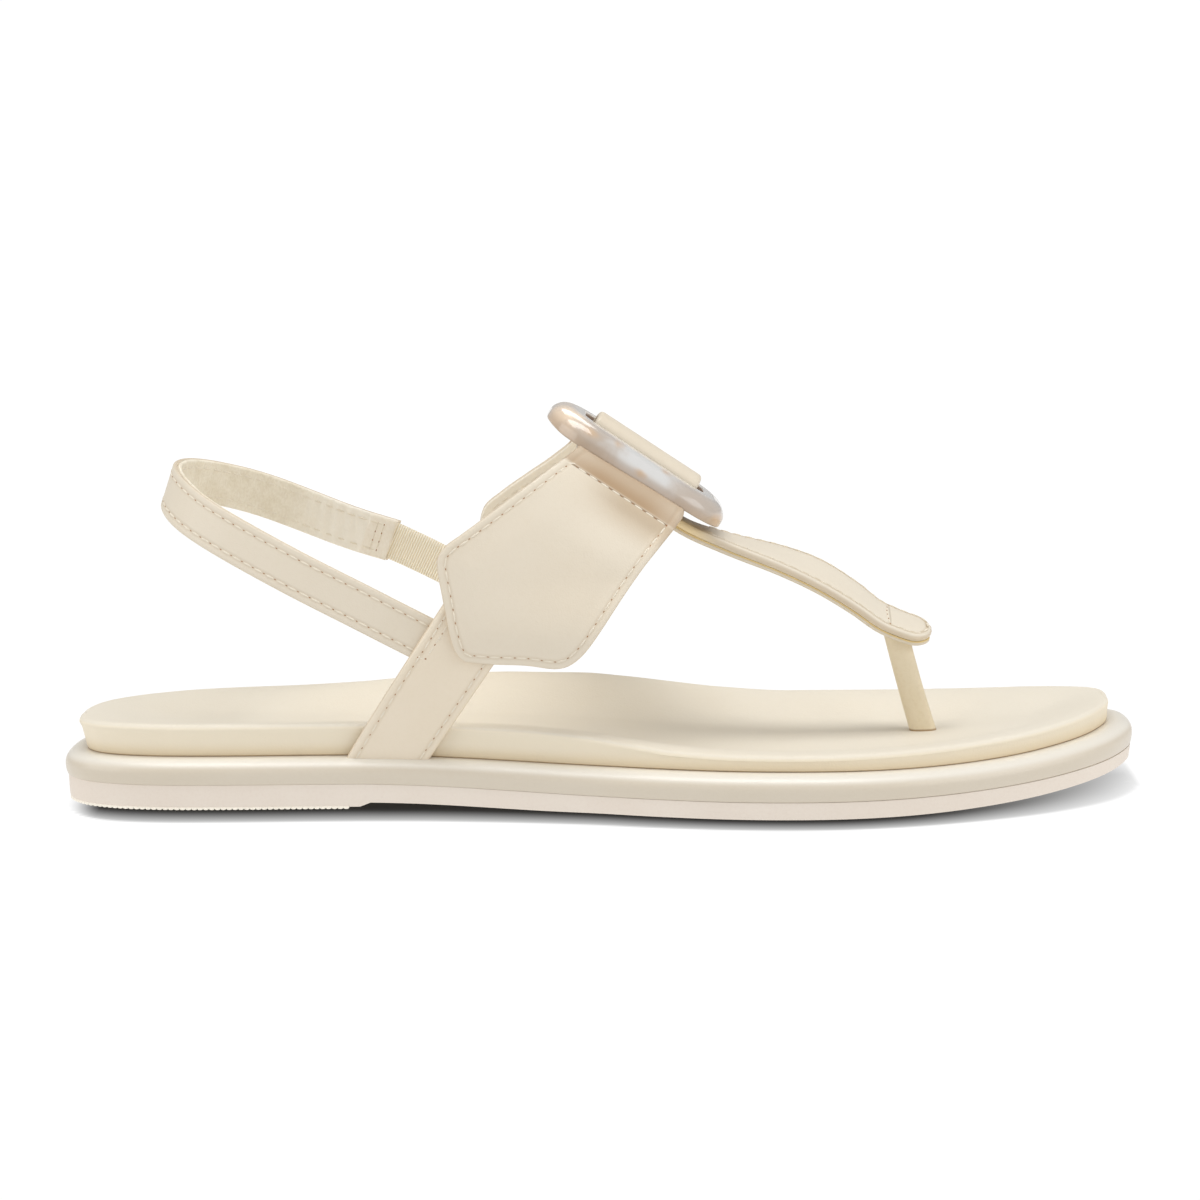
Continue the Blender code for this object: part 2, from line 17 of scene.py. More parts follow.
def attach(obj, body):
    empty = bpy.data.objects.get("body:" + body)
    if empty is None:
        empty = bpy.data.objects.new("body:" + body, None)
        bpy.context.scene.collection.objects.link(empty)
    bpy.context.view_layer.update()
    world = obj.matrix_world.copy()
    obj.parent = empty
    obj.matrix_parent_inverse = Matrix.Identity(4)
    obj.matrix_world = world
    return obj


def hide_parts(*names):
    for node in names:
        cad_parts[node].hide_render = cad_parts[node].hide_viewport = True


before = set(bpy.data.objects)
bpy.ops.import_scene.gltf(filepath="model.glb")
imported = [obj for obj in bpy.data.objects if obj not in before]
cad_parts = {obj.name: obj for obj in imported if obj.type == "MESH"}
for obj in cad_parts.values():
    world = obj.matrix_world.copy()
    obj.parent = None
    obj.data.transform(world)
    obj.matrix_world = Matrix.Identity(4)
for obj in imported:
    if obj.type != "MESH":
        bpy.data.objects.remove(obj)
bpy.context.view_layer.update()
print("solids:", ", ".join(sorted(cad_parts)))

# %% [markdown]
# ## The pattern cutter's curves
# A shoe is drawn with short tables: heights along the sole, sections of the foot, middle lines of
# straps. Two curves join the rows. One never overshoots its rows, which suits heights and edges. The
# other rounds through them, which suits anything that bends. Both take whole arrays, because a fine
# mesh asks them for thousands of points at once.

# %% Curves through table rows
MM = 0.001
MIDDLE = np.array((0.2, 0.0, 0.0))   # middle of the sandal in the tables' own frame


def edge_curve(xs, ys, x):
    """Smooth curve through rows that never overshoots them."""
    x = np.asarray(x, float)
    h = np.diff(xs)
    d = np.diff(ys) / h
    slope = np.r_[d[0], np.zeros(len(xs) - 2), d[-1]]
    same_way = d[:-1] * d[1:] > 0
    total = np.where(same_way, d[:-1] + d[1:], 1.0)
    slope[1:-1] = np.where(same_way, 2 * d[:-1] * d[1:] / total, 0.0)
    k = np.clip(np.searchsorted(xs, x) - 1, 0, len(xs) - 2)
    t = np.clip((x - xs[k]) / h[k], 0, 1)
    value = ys[k] * (1 + 2 * t) * (1 - t) ** 2 + ys[k + 1] * t * t * (3 - 2 * t)
    return value + h[k] * (slope[k] * t * (1 - t) ** 2 - slope[k + 1] * t * t * (1 - t))


def round_curve(rows, u):
    """Points on the curve that rounds through rows at u = 0, 1, 2 ..."""
    u = np.asarray(u, float)
    i = np.clip(np.floor(u).astype(int), 0, len(rows) - 2)
    t = (u - i)[..., None]
    padded = np.vstack([2 * rows[0] - rows[1], rows, 2 * rows[-1] - rows[-2]])
    p0, p1, p2, p3 = padded[i], padded[i + 1], padded[i + 2], padded[i + 3]
    return 0.5 * (2 * p1 + (p2 - p0) * t + (2 * p0 - 5 * p1 + 4 * p2 - p3) * t ** 2
                  + (3 * p1 - p0 - 3 * p2 + p3) * t ** 3)


SAMPLE = np.array(((0.0,), (1.0,), (4.0,)))
print("halfway from 1 to 4 a round curve is at", round_curve(SAMPLE, 1.5)[0])

# %% [markdown]
# ## Sheets bent over a form
# Almost everything on this sandal is a sheet: leather, rubber skin, elastic. A flat grid from
# `create_grid` is the natural start. Each of its points is then carried to its place on the shoe.
# Where two sheets share an edge, their points fall together and `remove_doubles` sews them up.

# %% Sheet and finishing helpers
SHARP = math.radians(50)
SEWN = 0.0001 * MM          # points closer than this are one point


def lay_sheet(bm, columns, rows, place):
    """A flat grid whose points are carried to place(column, row), both counted from 0."""
    points = bmesh.ops.create_grid(bm, x_segments=columns, y_segments=rows, size=0.5)["verts"]
    flat = np.array([point.co[:2] for point in points]) + 0.5
    column = np.rint(flat[:, 0] * columns).astype(int)
    row = np.rint(flat[:, 1] * rows).astype(int)
    for point, target in zip(points, place(column, row)):
        point.co = (target - MIDDLE) * MM
    return points, column, row


def finish_piece(name, bm, node, slot, *finishes):
    """Sews the sheets together and puts the piece on the shoe in place of its solid."""
    bmesh.ops.remove_doubles(bm, verts=bm.verts, dist=SEWN)
    bmesh.ops.recalc_face_normals(bm, faces=bm.faces)
    mesh = bpy.data.meshes.new(name)
    bm.to_mesh(mesh)
    bm.free()
    mesh.shade_smooth()
    mesh.set_sharp_from_angle(angle=SHARP)
    for finish in finishes:
        mesh.materials.append(finish)
    piece = bpy.data.objects.new(name, mesh)
    bpy.context.scene.collection.objects.link(piece)
    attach(piece, "root")
    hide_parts(node)
    print(name, "in place of", node, "-", len(mesh.polygons), "faces")
    return piece


print("points within", SEWN / MM, "mm are sewn into one")

# %% [markdown]
# ## Finishes
# A finish here is a Principled shader with a few noise fields behind it. Colours are read from the
# photograph as sRGB values and turned into the linear values that a shader expects. What more
# than one leather needs, such as grain and the dent along a seam, is a node group with named
# sockets, built once and placed in each finish with its own values.

# %% Colour and node helpers
def srgb(red, green, blue):
    share = np.array((red, green, blue)) / 255
    linear = np.where(share <= 0.04045, share / 12.92, ((share + 0.055) / 1.055) ** 2.4)
    return (*(float(value) for value in linear), 1.0)


def add_node(tree, kind, inputs=None, **settings):
    """Adds a node, sets its options, and sets or links its inputs by name or number."""
    made = tree.nodes.new(kind)
    for option, value in settings.items():
        setattr(made, option, value)
    for key, value in (inputs or {}).items():
        if isinstance(value, bpy.types.NodeSocket):
            tree.links.new(value, made.inputs[key])
        else:
            made.inputs[key].default_value = value
    return made


def maths(tree, operation, first, second=0.0, third=0.0):
    return add_node(tree, "ShaderNodeMath", {0: first, 1: second, 2: third}, operation=operation).outputs[0]


def times(tree, first, second):
    return maths(tree, "MULTIPLY", first, second)


def away_from(tree, value, mark):
    return maths(tree, "ABSOLUTE", maths(tree, "SUBTRACT", value, mark))


def fade(tree, value, start, end):
    """A smooth step from 0 at start to 1 at end."""
    return add_node(tree, "ShaderNodeMapRange", {"Value": value, "From Min": start, "From Max": end},
                    interpolation_type="SMOOTHSTEP").outputs["Result"]


def attribute(tree, name):
    return add_node(tree, "ShaderNodeAttribute", attribute_name=name).outputs["Fac"]


def noise(tree, scale, detail=2.0, place=None, distortion=0.0):
    """Cloudy noise in the piece's own space, at a scale per metre."""
    place = place or add_node(tree, "ShaderNodeTexCoord").outputs["Object"]
    return add_node(tree, "ShaderNodeTexNoise", {"Vector": place, "Scale": scale, "Detail": detail,
                                                 "Distortion": distortion}).outputs[0]


def blend_colours(tree, share, first, second):
    return add_node(tree, "ShaderNodeMix", {0: share, 6: first, 7: second}, data_type="RGBA").outputs[2]


def new_group(name, inputs, outputs):
    """An empty node group with named sockets, and its input and output nodes."""
    group = bpy.data.node_groups.new(name, "ShaderNodeTree")
    for way, sockets in (("INPUT", inputs), ("OUTPUT", outputs)):
        for label, kind in sockets:
            group.interface.new_socket(label, in_out=way, socket_type=kind)
    return group, group.nodes.new("NodeGroupInput").outputs, group.nodes.new("NodeGroupOutput").inputs


def new_finish(name, **sockets):
    """A material with a Principled shader whose constant sockets are set by name."""
    finish = bpy.data.materials.new(name)
    finish.use_nodes = True
    shader = finish.node_tree.nodes["Principled BSDF"]
    for label, value in sockets.items():
        shader.inputs[label.replace("_", " ").title().replace("Ior", "IOR")].default_value = value
    return finish, finish.node_tree, shader


def relief(tree, shader, height, depth):
    """Feeds a height field, in units of depth metres, into a shader's normal."""
    bump = add_node(tree, "ShaderNodeBump", {"Height": height, "Distance": depth, "Strength": 1.0})
    tree.links.new(bump.outputs["Normal"], shader.inputs["Normal"])


print("grey 128 is", round(srgb(128, 128, 128)[0], 3), "in linear light")

# %% [markdown]
# ### Leather grain and sewn edges
# Smooth nappa has fine pores, a low pebble and slow changes of tone. The pores are a cell pattern
# about a third of a millimetre wide, the tone is broad noise. A seam pulls the leather down in a
# narrow dent, which is painted darker as painted shade, and so is the rounded rim of each strap. Each
# strap carries an attribute with the distance to its edge in millimetres, so the dent follows every
# outline at the same inset, sharp at any mesh size.

# %% Groups for grain and seams
FLOAT, COLOUR = "NodeSocketFloat", "NodeSocketColor"
PEBBLE_SCALE, TONE_SCALE = 900.0, 38.0
DENT_HALF, DENT_DEEP = 0.9, 2.5      # the seam's dent: half width in mm, depth in units of grain
SHADED_RIM = 0.35                      # width of the painted shade along the rounded rim of a strap


def grain_group():
    group, given, result = new_group(
        "leather_grain",
        (("Colour", COLOUR), ("Tone", COLOUR), ("Grain", FLOAT), ("Mottle", FLOAT)),
        (("Colour", COLOUR), ("Height", FLOAT)))
    place = add_node(group, "ShaderNodeTexCoord").outputs["Object"]
    pores = add_node(group, "ShaderNodeTexVoronoi", {"Vector": place, "Scale": given["Grain"]},
                     feature="SMOOTH_F1")
    pebble = noise(group, PEBBLE_SCALE, 4.0, place)
    broad = noise(group, TONE_SCALE, 3.0, place)
    height = maths(group, "ADD", times(group, pores.outputs["Distance"], 0.6), times(group, pebble, 0.5))
    share = times(group, fade(group, broad, 0.35, 0.7), given["Mottle"])
    fine = times(group, fade(group, pebble, 0.45, 0.75), given["Mottle"])
    share = maths(group, "ADD", share, times(group, fine, 0.5))
    group.links.new(blend_colours(group, share, given["Colour"], given["Tone"]), result["Colour"])
    group.links.new(height, result["Height"])
    return group


def seam_group():
    group, given, result = new_group(
        "sewn_edge",
        (("Colour", COLOUR), ("Tone", COLOUR), ("Height", FLOAT), ("Edge", FLOAT), ("Inset", FLOAT)),
        (("Colour", COLOUR), ("Height", FLOAT)))
    off = away_from(group, given["Edge"], given["Inset"])
    dent = maths(group, "SUBTRACT", 1.0, fade(group, off, 0.0, DENT_HALF))
    rim = maths(group, "SUBTRACT", 1.0, fade(group, given["Edge"], 0.0, SHADED_RIM))
    # painted shade: darker in the dent of the seam and along the rounded rim of the strap
    share = maths(group, "ADD", times(group, dent, 0.22), times(group, rim, 0.35))
    group.links.new(blend_colours(group, share, given["Colour"], given["Tone"]), result["Colour"])
    group.links.new(maths(group, "SUBTRACT", given["Height"], times(group, dent, DENT_DEEP)),
                    result["Height"])
    return group


GRAIN = grain_group()
SEAM = seam_group()
print("node groups:", GRAIN.name, "and", SEAM.name)

# %% Leather finishes
SEAM_INSET = 2.0           # stitch line inside the edge of a strap
# colour of the painted shade in a seam's dent and on a strap's rounded rim
SEAM_SHADE = srgb(186, 160, 122)
GRAIN_DEPTH = 0.00005
SATIN = {"roughness": 0.46, "coat_weight": 0.06, "coat_roughness": 0.35}
# Painted shades of the footbed and painted highlight of the rand: slopes, and heights in mm,
# between which each comes in
WALL_SLOPE, SHOULDER_SLOPE = (0.75, 0.25), (0.35, 0.85)
WARM_SHADE_FOOT, CREASE_LINE = (4.0, 0.2), (0.34, 0.12)


def leather(name, colour, tone, grain=2600.0, mottle=0.2, inset=None, **sockets):
    finish, tree, shader = new_finish(name, **sockets)
    skin = add_node(tree, "ShaderNodeGroup",
                    {"Colour": colour, "Tone": tone, "Grain": grain, "Mottle": mottle},
                    node_tree=GRAIN).outputs
    if inset:
        skin = add_node(tree, "ShaderNodeGroup",
                        {"Colour": skin["Colour"], "Tone": SEAM_SHADE, "Inset": inset,
                         "Height": skin["Height"], "Edge": attribute(tree, "edge")},
                        node_tree=SEAM).outputs
    tree.links.new(skin["Colour"], shader.inputs["Base Color"])
    relief(tree, shader, skin["Height"], GRAIN_DEPTH)
    return finish


def paint_over(finish, paint):
    """Carries the colour of a finish through paint(tree, colour)."""
    target = finish.node_tree.nodes["Principled BSDF"].inputs["Base Color"]
    finish.node_tree.links.new(paint(finish.node_tree, target.links[0].from_socket), target)


def tint(tree, colour, share, strength, other):
    """Carries a colour towards another one, where share is 1 by as much as strength says."""
    return blend_colours(tree, times(tree, share, strength), colour, other)


def footbed_painted_shade(tree, colour):
    """Painted light and shade: wall warmer than the top, more so at its foot, a brown line in the crease."""
    wall = fade(tree, attribute(tree, "slope"), *WALL_SLOPE)
    above = attribute(tree, "above")
    colour = blend_colours(tree, wall, colour, srgb(237, 226, 204))
    warm = times(tree, wall, fade(tree, above, *WARM_SHADE_FOOT))
    colour = tint(tree, colour, warm, 0.5, srgb(226, 205, 166))
    crease = times(tree, wall, fade(tree, above, *CREASE_LINE))
    return tint(tree, colour, crease, 0.75, srgb(146, 108, 66))


def rand_painted_highlight(tree, colour):
    """The upper shoulder of the rand is painted paler where it faces up: a painted highlight."""
    shoulder = fade(tree, attribute(tree, "slope"), *SHOULDER_SLOPE)
    return blend_colours(tree, shoulder, colour, srgb(230, 224, 212))


STRAP_FINISH = leather("cream_strap_leather", srgb(222, 211, 192), srgb(210, 195, 170),
                       inset=SEAM_INSET, **SATIN)
# the side straps' leather is a lighter copy of the strap leather: painted light
SIDE_LIT_FINISH = leather("lit_cream_side_leather", srgb(233, 220, 199), srgb(222, 206, 178),
                      inset=SEAM_INSET, **SATIN)
# the band's lining is a lighter copy of the plain leather: painted light
LIT_BAND_LINING_FINISH = leather("lit_cream_lining_leather", srgb(242, 233, 216), srgb(232, 220, 199), roughness=0.55)
PLAIN_FINISH = leather("cream_plain_leather", srgb(221, 210, 191), srgb(213, 196, 168),
                       roughness=0.48, coat_weight=0.05, coat_roughness=0.35)
FOOTBED_FINISH = leather("cream_footbed_leather", srgb(231, 223, 207), srgb(223, 212, 191),
                         grain=2200.0, roughness=0.6, specular_ior_level=0.35)
paint_over(FOOTBED_FINISH, footbed_painted_shade)
RAND_FINISH = leather("cream_rand_leather", srgb(214, 203, 185), srgb(206, 192, 169),
                      grain=2400.0, roughness=0.4, coat_weight=0.4, coat_roughness=0.26)
paint_over(RAND_FINISH, rand_painted_highlight)
print("finishes so far:", len(bpy.data.materials))

# %% [markdown]
# ## The sole's outline
# Outsole, rand and footbed are cut to one plan outline: a row of the table gives the lateral and the
# medial edge at one station from heel to toe. Each layer is a stack of loops drawn in from that
# outline. The outline starts at the middle of the heel and runs along the lateral side, so that a
# point and its partner across the shoe are the same count from the start.

# %% Plan of the sole
# Columns: x, lateral edge, medial edge
PLAN = np.array((
    (-131.5, -13.4, -5.6), (-130.5, -18.8, 2.2), (-128.2, -23.3, 9.0), (-124.0, -27.6, 15.8),
    (-116.0, -31.2, 23.2), (-104.0, -33.0, 29.0), (-88.0, -32.8, 31.0), (-72.0, -31.9, 30.2),
    (-59.8, -31.4, 29.2), (-56.2, -31.3, 29.0), (-40.0, -31.5, 28.6), (-22.0, -33.4, 30.2),
    (-4.0, -36.9, 33.6), (12.0, -41.5, 37.3), (28.0, -44.9, 41.2), (43.0, -46.0, 44.4),
    (58.0, -44.9, 46.0), (74.0, -40.9, 46.1), (90.0, -34.3, 45.1), (104.0, -26.6, 43.1),
    (115.0, -18.2, 40.1), (123.4, -9.4, 35.7), (128.9, 0.0, 30.1), (131.9, 9.6, 22.4)))
HEEL_X, TOE_X = PLAN[0, 0], PLAN[-1, 0]
STEPS = 6                  # points for each station


def unit(vectors):
    return vectors / np.linalg.norm(vectors, axis=-1)[..., None]


def sole_outline():
    """Closed outline and its outward normals, from the middle of the heel along the lateral side."""
    knots = np.vstack([PLAN[:, [0, 1]], PLAN[::-1, [0, 2]]])
    ring = np.vstack([knots[-1:], knots, knots[:2]])
    points = round_curve(ring, 1 + np.arange(len(knots) * STEPS) / STEPS)
    points = np.roll(points, STEPS // 2, axis=0)
    along = unit(np.roll(points, -1, axis=0) - np.roll(points, 1, axis=0))
    return points, np.column_stack([along[:, 1], -along[:, 0]])


OUTLINE, OUTWARD = sole_outline()
ROUND = len(OUTLINE)
HALF = ROUND // 2
SIDE_SHARE = (np.arange(ROUND) > HALF).astype(float)
print("outline of the sole:", ROUND, "points")

# %% Heights along the sole
OUTSOLE_HEEL, OUTSOLE_BALL = 6.1, 4.3
RAND_TOP_HEEL, RAND_TOP_BALL = 12.3, 10.7
HEEL_END, BALL_START = -62.0, 2.0
HEEL_BREAST, BREAST_RUN, BREAST_RISE = -59.8, 3.6, 1.45
ARCH_FADE = 52.0
TOE_SPRING, SPRING_START, SPRING_POWER = 5.6, 55.0, 2.5
WELT_SPRING = 0.85         # share of the toe spring that the top of the outsole takes


def eased(value, start, end):
    """A soft step from 0 at start to 1 at end, whichever of them is larger."""
    t = np.clip((value - start) / (end - start), 0, 1)
    return t * t * (3 - 2 * t)


def heel_share(x):
    return eased(x, BALL_START, HEEL_END)


def toe_spring(x):
    return TOE_SPRING * np.clip((x - SPRING_START) / (TOE_X - SPRING_START), 0, None) ** SPRING_POWER


def floor_height(x):
    step = BREAST_RISE * np.clip((x - HEEL_BREAST) / BREAST_RUN, 0, 1)
    return step * eased(x, HEEL_BREAST + ARCH_FADE, HEEL_BREAST) + toe_spring(x)


def welt_height(x):
    return OUTSOLE_BALL + (OUTSOLE_HEEL - OUTSOLE_BALL) * heel_share(x) + WELT_SPRING * toe_spring(x)


def crease_height(x):
    return RAND_TOP_BALL + (RAND_TOP_HEEL - RAND_TOP_BALL) * heel_share(x) + toe_spring(x)


def taper(x, heel, toe):
    return heel + (toe - heel) * eased(x, HEEL_X, TOE_X)


def contour(inset, height):
    """One loop of a sole layer: the outline drawn in by inset(x), at height(x)."""
    plan = OUTLINE - OUTWARD * np.broadcast_to(inset(OUTLINE[:, 0]), ROUND)[:, None]
    return np.column_stack([plan, height(plan[:, 0])])


def layer_of_sole(loops, rungs=10, top=None):
    """A closed layer: a wall through the loops, and sheets across the lowest and the highest loop."""
    loops = np.array(loops)
    bm = bmesh.new()
    lay_sheet(bm, ROUND, len(loops) - 1, lambda column, row: loops[row, column % ROUND])
    for loop, height in ((loops[0], None), (loops[-1], top)):
        def across(column, row):
            share = 0.5 - 0.5 * np.cos(math.pi * column / rungs)
            here = loop[row] + (loop[-row] - loop[row]) * share[:, None]
            if height:
                here[:, 2] = height(here[:, :2], share)
            return here
        lay_sheet(bm, rungs, HALF, across)
    return bm


print("foot of the footbed at heel and toe:",
      *(round(float(crease_height(x)), 1) for x in (HEEL_X, TOE_X)), "mm")

# %% [markdown]
# ## Outsole
# The outsole is a moulded rubber slab, pinkish cream, with a small round along its floor edge and a
# low heel block. Round the bottom of the heel runs a row of tiny beads, the ends of its tread, painted
# paler than the slab as painted light. The slab is a stack of loops, and the beads are one strip
# with a scalloped underside.

# %% Rubber finish
RUBBER_RELIEF = 0.00004
TREAD_RIBS, TREAD_RELIEF = 180.0, 8.0   # ribs under the sole: their scale, and depth in units of relief


def rubber(name, colour, tone, ribs=False):
    finish, tree, shader = new_finish(name, roughness=0.58, specular_ior_level=0.4)
    place = add_node(tree, "ShaderNodeTexCoord").outputs["Object"]
    speck = noise(tree, 1400.0, 3.0, place)
    broad = noise(tree, 45.0, 2.0, place)
    share = maths(tree, "ADD", times(tree, fade(tree, broad, 0.3, 0.7), 0.25),
                  times(tree, fade(tree, speck, 0.4, 0.8), 0.25))
    tree.links.new(blend_colours(tree, share, colour, tone), shader.inputs["Base Color"])
    height = speck
    if ribs:
        wave = add_node(tree, "ShaderNodeTexWave", {"Vector": place, "Scale": TREAD_RIBS},
                        bands_direction="X")
        height = maths(tree, "MULTIPLY_ADD", wave.outputs["Fac"], TREAD_RELIEF, height)
    relief(tree, shader, height, RUBBER_RELIEF)
    return finish


RUBBER_FINISH = rubber("outsole_rubber_finish", srgb(234, 223, 210), srgb(226, 211, 196))
TREAD_FINISH = rubber("outsole_tread_finish", srgb(228, 217, 204), srgb(219, 204, 189), ribs=True)
# the beads are a paler copy of the slab's rubber: painted light
LIT_BEAD_FINISH = rubber("lit_heel_rib_rubber", srgb(255, 248, 234), srgb(250, 240, 222))
print("rubber finishes:", RUBBER_FINISH.name, TREAD_FINISH.name, LIT_BEAD_FINISH.name)

# %% Outsole slab
OUTSOLE_INSET_HEEL, OUTSOLE_INSET_TOE = 1.0, 0.7
OUTSOLE_EDGE = 0.8
OUTSOLE_LEAN = 0.35        # the wall leans out by this much up to its top
OUTSOLE_TUCK = 0.15        # and draws in again at the rand
TREAD_DEEP = 0.45          # height of the beads under the heel
FACES_DOWN = -0.9          # faces whose normal is lower than this are tread


def outsole_edge(x):
    return taper(x, OUTSOLE_INSET_HEEL, OUTSOLE_INSET_TOE)


def slab_floor(x):
    heel_block = (x < HEEL_BREAST + BREAST_RUN) * TREAD_DEEP
    return np.maximum(floor_height(x), heel_block)


def make_outsole():
    loops = []
    for degrees in (0, 30, 60, 90):
        out = math.sin(math.radians(degrees)) * OUTSOLE_EDGE
        up = (1 - math.cos(math.radians(degrees))) * OUTSOLE_EDGE
        loops.append(contour(lambda x: outsole_edge(x) + OUTSOLE_EDGE - out, lambda x: slab_floor(x) + up))
    for share, tuck in ((0.5, 0.0), (0.9, OUTSOLE_TUCK / 3), (1.0, OUTSOLE_TUCK)):
        def height(x):
            foot = slab_floor(x) + OUTSOLE_EDGE
            return foot + (welt_height(x) - foot) * share
        loops.append(contour(lambda x: outsole_edge(x) + tuck - OUTSOLE_LEAN * share, height))
    bm = layer_of_sole(loops)
    piece = finish_piece("outsole_slab", bm, "outsole", "outsole_rubber", RUBBER_FINISH, TREAD_FINISH)
    for face in piece.data.polygons:
        if face.normal.z < FACES_DOWN:
            face.material_index = 1


make_outsole()

# %% Beads round the heel block
BEAD = 1.4                 # pitch of the beads
BEAD_POINTS = 8            # points along each bead
BEAD_INSET = 0.3           # beads inside the wall of the slab
BEAD_NOTCH = 0.3           # depth of the notches between them
BEAD_OUT, BEAD_ROUND = 0.22, 0.2
STRIP_OUT, STRIP_IN = 0.05, -6.0       # the strip behind the beads, across the edge of the slab
STRIP_TOP = TREAD_DEEP + 0.25          # its top is inside the slab
STRIP_END = HEEL_BREAST - 0.3


def marks_along(points):
    """Length of a line of points up to each of them."""
    return np.r_[0, np.cumsum(np.linalg.norm(np.diff(points, axis=0), axis=1))]


def close_ends(bm):
    """Sews a sheet into a tube and fills its two ends."""
    bmesh.ops.remove_doubles(bm, verts=bm.verts, dist=SEWN)
    bmesh.ops.holes_fill(bm, edges=[edge for edge in bm.edges if edge.is_boundary])
    return bm


def make_heel_tread():
    rim = contour(lambda x: outsole_edge(x) + BEAD_INSET, floor_height)[:, :2]
    path = np.vstack([rim[HALF:], rim[:HALF]])
    path = path[path[:, 0] < STRIP_END]
    marks = marks_along(path)
    beads = int(marks[-1] / BEAD)
    s = np.linspace(0, marks[-1], BEAD_POINTS * beads + 1)
    plan = np.column_stack([np.interp(s, marks, path[:, k]) for k in (0, 1)])
    ahead = unit(np.gradient(plan, axis=0))
    outward = np.column_stack([ahead[:, 1], -ahead[:, 0]])
    bead = np.sqrt(1 - np.square(2 * (s * beads / marks[-1] % 1) - 1))
    low = BEAD_NOTCH * (1 - bead)
    flat = np.ones(len(s))
    out = np.array((0 * flat, BEAD_OUT * bead, STRIP_OUT * flat, STRIP_IN * flat, STRIP_IN * flat))
    high = np.array((low, low + BEAD_ROUND, STRIP_TOP * flat, STRIP_TOP * flat, low))

    def place(column, row):
        turn = column % len(out)
        return np.column_stack([plan[row] + outward[row] * out[turn, row][:, None], high[turn, row]])

    bm = bmesh.new()
    lay_sheet(bm, len(out), len(s) - 1, place)
    finish_piece("heel_ribs", close_ends(bm), "outsole", "outsole_rubber", LIT_BEAD_FINISH)


make_heel_tread()

# %% [markdown]
# ## Rand
# The rand is a strip of leather rolled round the edge of a soft midsole. It is a half-round bead
# with a satin gloss and a painted highlight: its upper shoulder is painted paler and catches the
# light in one long line. Loops at even turns of the bead give it a true round without a modifier.

# %% Rand
RAND_UNDERCUT, RAND_TUCK, RAND_SHOULDER, RAND_WAIST = 0.8, 1.5, 4.6, 0.45
RAND_SAG, SAG_RUN = 0.55, (40.0, 105.0)   # the rand lies a little lower towards the toe
RAND_GAP = 0.02            # keeps the rand off the top of the outsole


def rand_top(x):
    return crease_height(x) - RAND_SAG * eased(x, *SAG_RUN)


def rand_level(rise):
    def height(x):
        low = welt_height(x) + RAND_GAP
        waist = low + RAND_WAIST * (rand_top(x) - low)
        return waist + rise * (waist - low if rise < 0 else rand_top(x) - waist)
    return height


def note_shape(piece, ground):
    """Notes how far each point of a finished piece faces up, and its height above ground(x)."""
    mesh = piece.data
    normals, places = np.empty((2, len(mesh.vertices), 3), np.float32)
    mesh.vertex_normals.foreach_get("vector", normals.ravel())
    mesh.vertices.foreach_get("co", places.ravel())
    places = places / MM + MIDDLE
    for name, values in (("slope", normals[:, 2]), ("above", places[:, 2] - ground(places[:, 0]))):
        mesh.attributes.new(name, "FLOAT", "POINT").data.foreach_set("value", values.astype(np.float32))


def make_rand():
    loops = [contour(lambda x: RAND_UNDERCUT + RAND_TUCK, rand_level(-1.0))]
    for degrees in range(-90, 91, 10):
        angle = math.radians(degrees)
        depth = RAND_UNDERCUT if angle < 0 else RAND_SHOULDER
        loops.append(contour(lambda x: depth * (1 - math.cos(angle)), rand_level(math.sin(angle))))
    return finish_piece("rolled_rand", layer_of_sole(loops), "midsole", "rand_leather", RAND_FINISH)


note_shape(make_rand(), rand_top)

# %% [markdown]
# ## Footbed
# The footbed is a soft board, cupped at the heel and hollowed under the ball, with leather drawn
# over it. Its wall leans out from the crease of the rand to a round rim, higher on the inner side
# under the arch. The top is one sheet: it starts at the rim and eases down into the hollow.

# %% Footbed
# Columns: x, lateral rim, medial rim and middle, as heights above the foot of the wall
FOOTBED = np.array((
    (-131.5, 7.6, 7.6, 5.1), (-118.0, 8.0, 7.6, 4.6), (-85.0, 8.0, 8.4, 4.5), (-62.0, 8.0, 9.9, 4.7),
    (-42.0, 8.0, 12.2, 5.4), (-22.0, 8.0, 13.5, 5.6), (-6.0, 7.4, 13.3, 5.0), (6.0, 6.0, 12.0, 4.0),
    (17.0, 4.8, 10.3, 3.0), (30.0, 4.2, 8.4, 2.3), (48.0, 4.0, 6.9, 1.8), (80.0, 4.3, 6.8, 1.7),
    (105.0, 4.5, 6.4, 2.1), (122.0, 5.0, 5.6, 2.7), (131.9, 5.3, 5.2, 3.0)))
CREASE_HEEL, CREASE_TOE = 5.5, 6.4
RIM_HEEL, RIM_TOE = 3.5, 6.0
RIM_ROUND, FOOT_ROUND = 1.3, 0.35
CUP_REACH = 19.0
FOOT_SUNK = 0.1            # the wall starts a little below the top of the rand
# Share of the wall's height, inset and drop of each loop from the foot of the wall up to its rim
WALL_LOOPS = ((0, FOOT_ROUND, 0.4), (0, FOOT_ROUND, 0), (0.04, 0.12, 0),
              (0.1, 0, 0), (0.3, 0, 0), (0.5, 0, 0), (0.7, 0, 0))


def rim_height(x, share):
    lateral = edge_curve(FOOTBED[:, 0], FOOTBED[:, 1], x)
    medial = edge_curve(FOOTBED[:, 0], FOOTBED[:, 2], x)
    return crease_height(x) + lateral + (medial - lateral) * share


def footbed_inset(x, rise):
    foot = taper(x, CREASE_HEEL, CREASE_TOE)
    return foot + (taper(x, RIM_HEEL, RIM_TOE) - foot) * rise


def footbed_loop(rise, extra, below):
    def height(x):
        foot = rand_top(x) - FOOT_SUNK
        return foot + (rim_height(x, SIDE_SHARE) - foot) * rise - below
    return contour(lambda x: footbed_inset(x, rise) + extra, height)


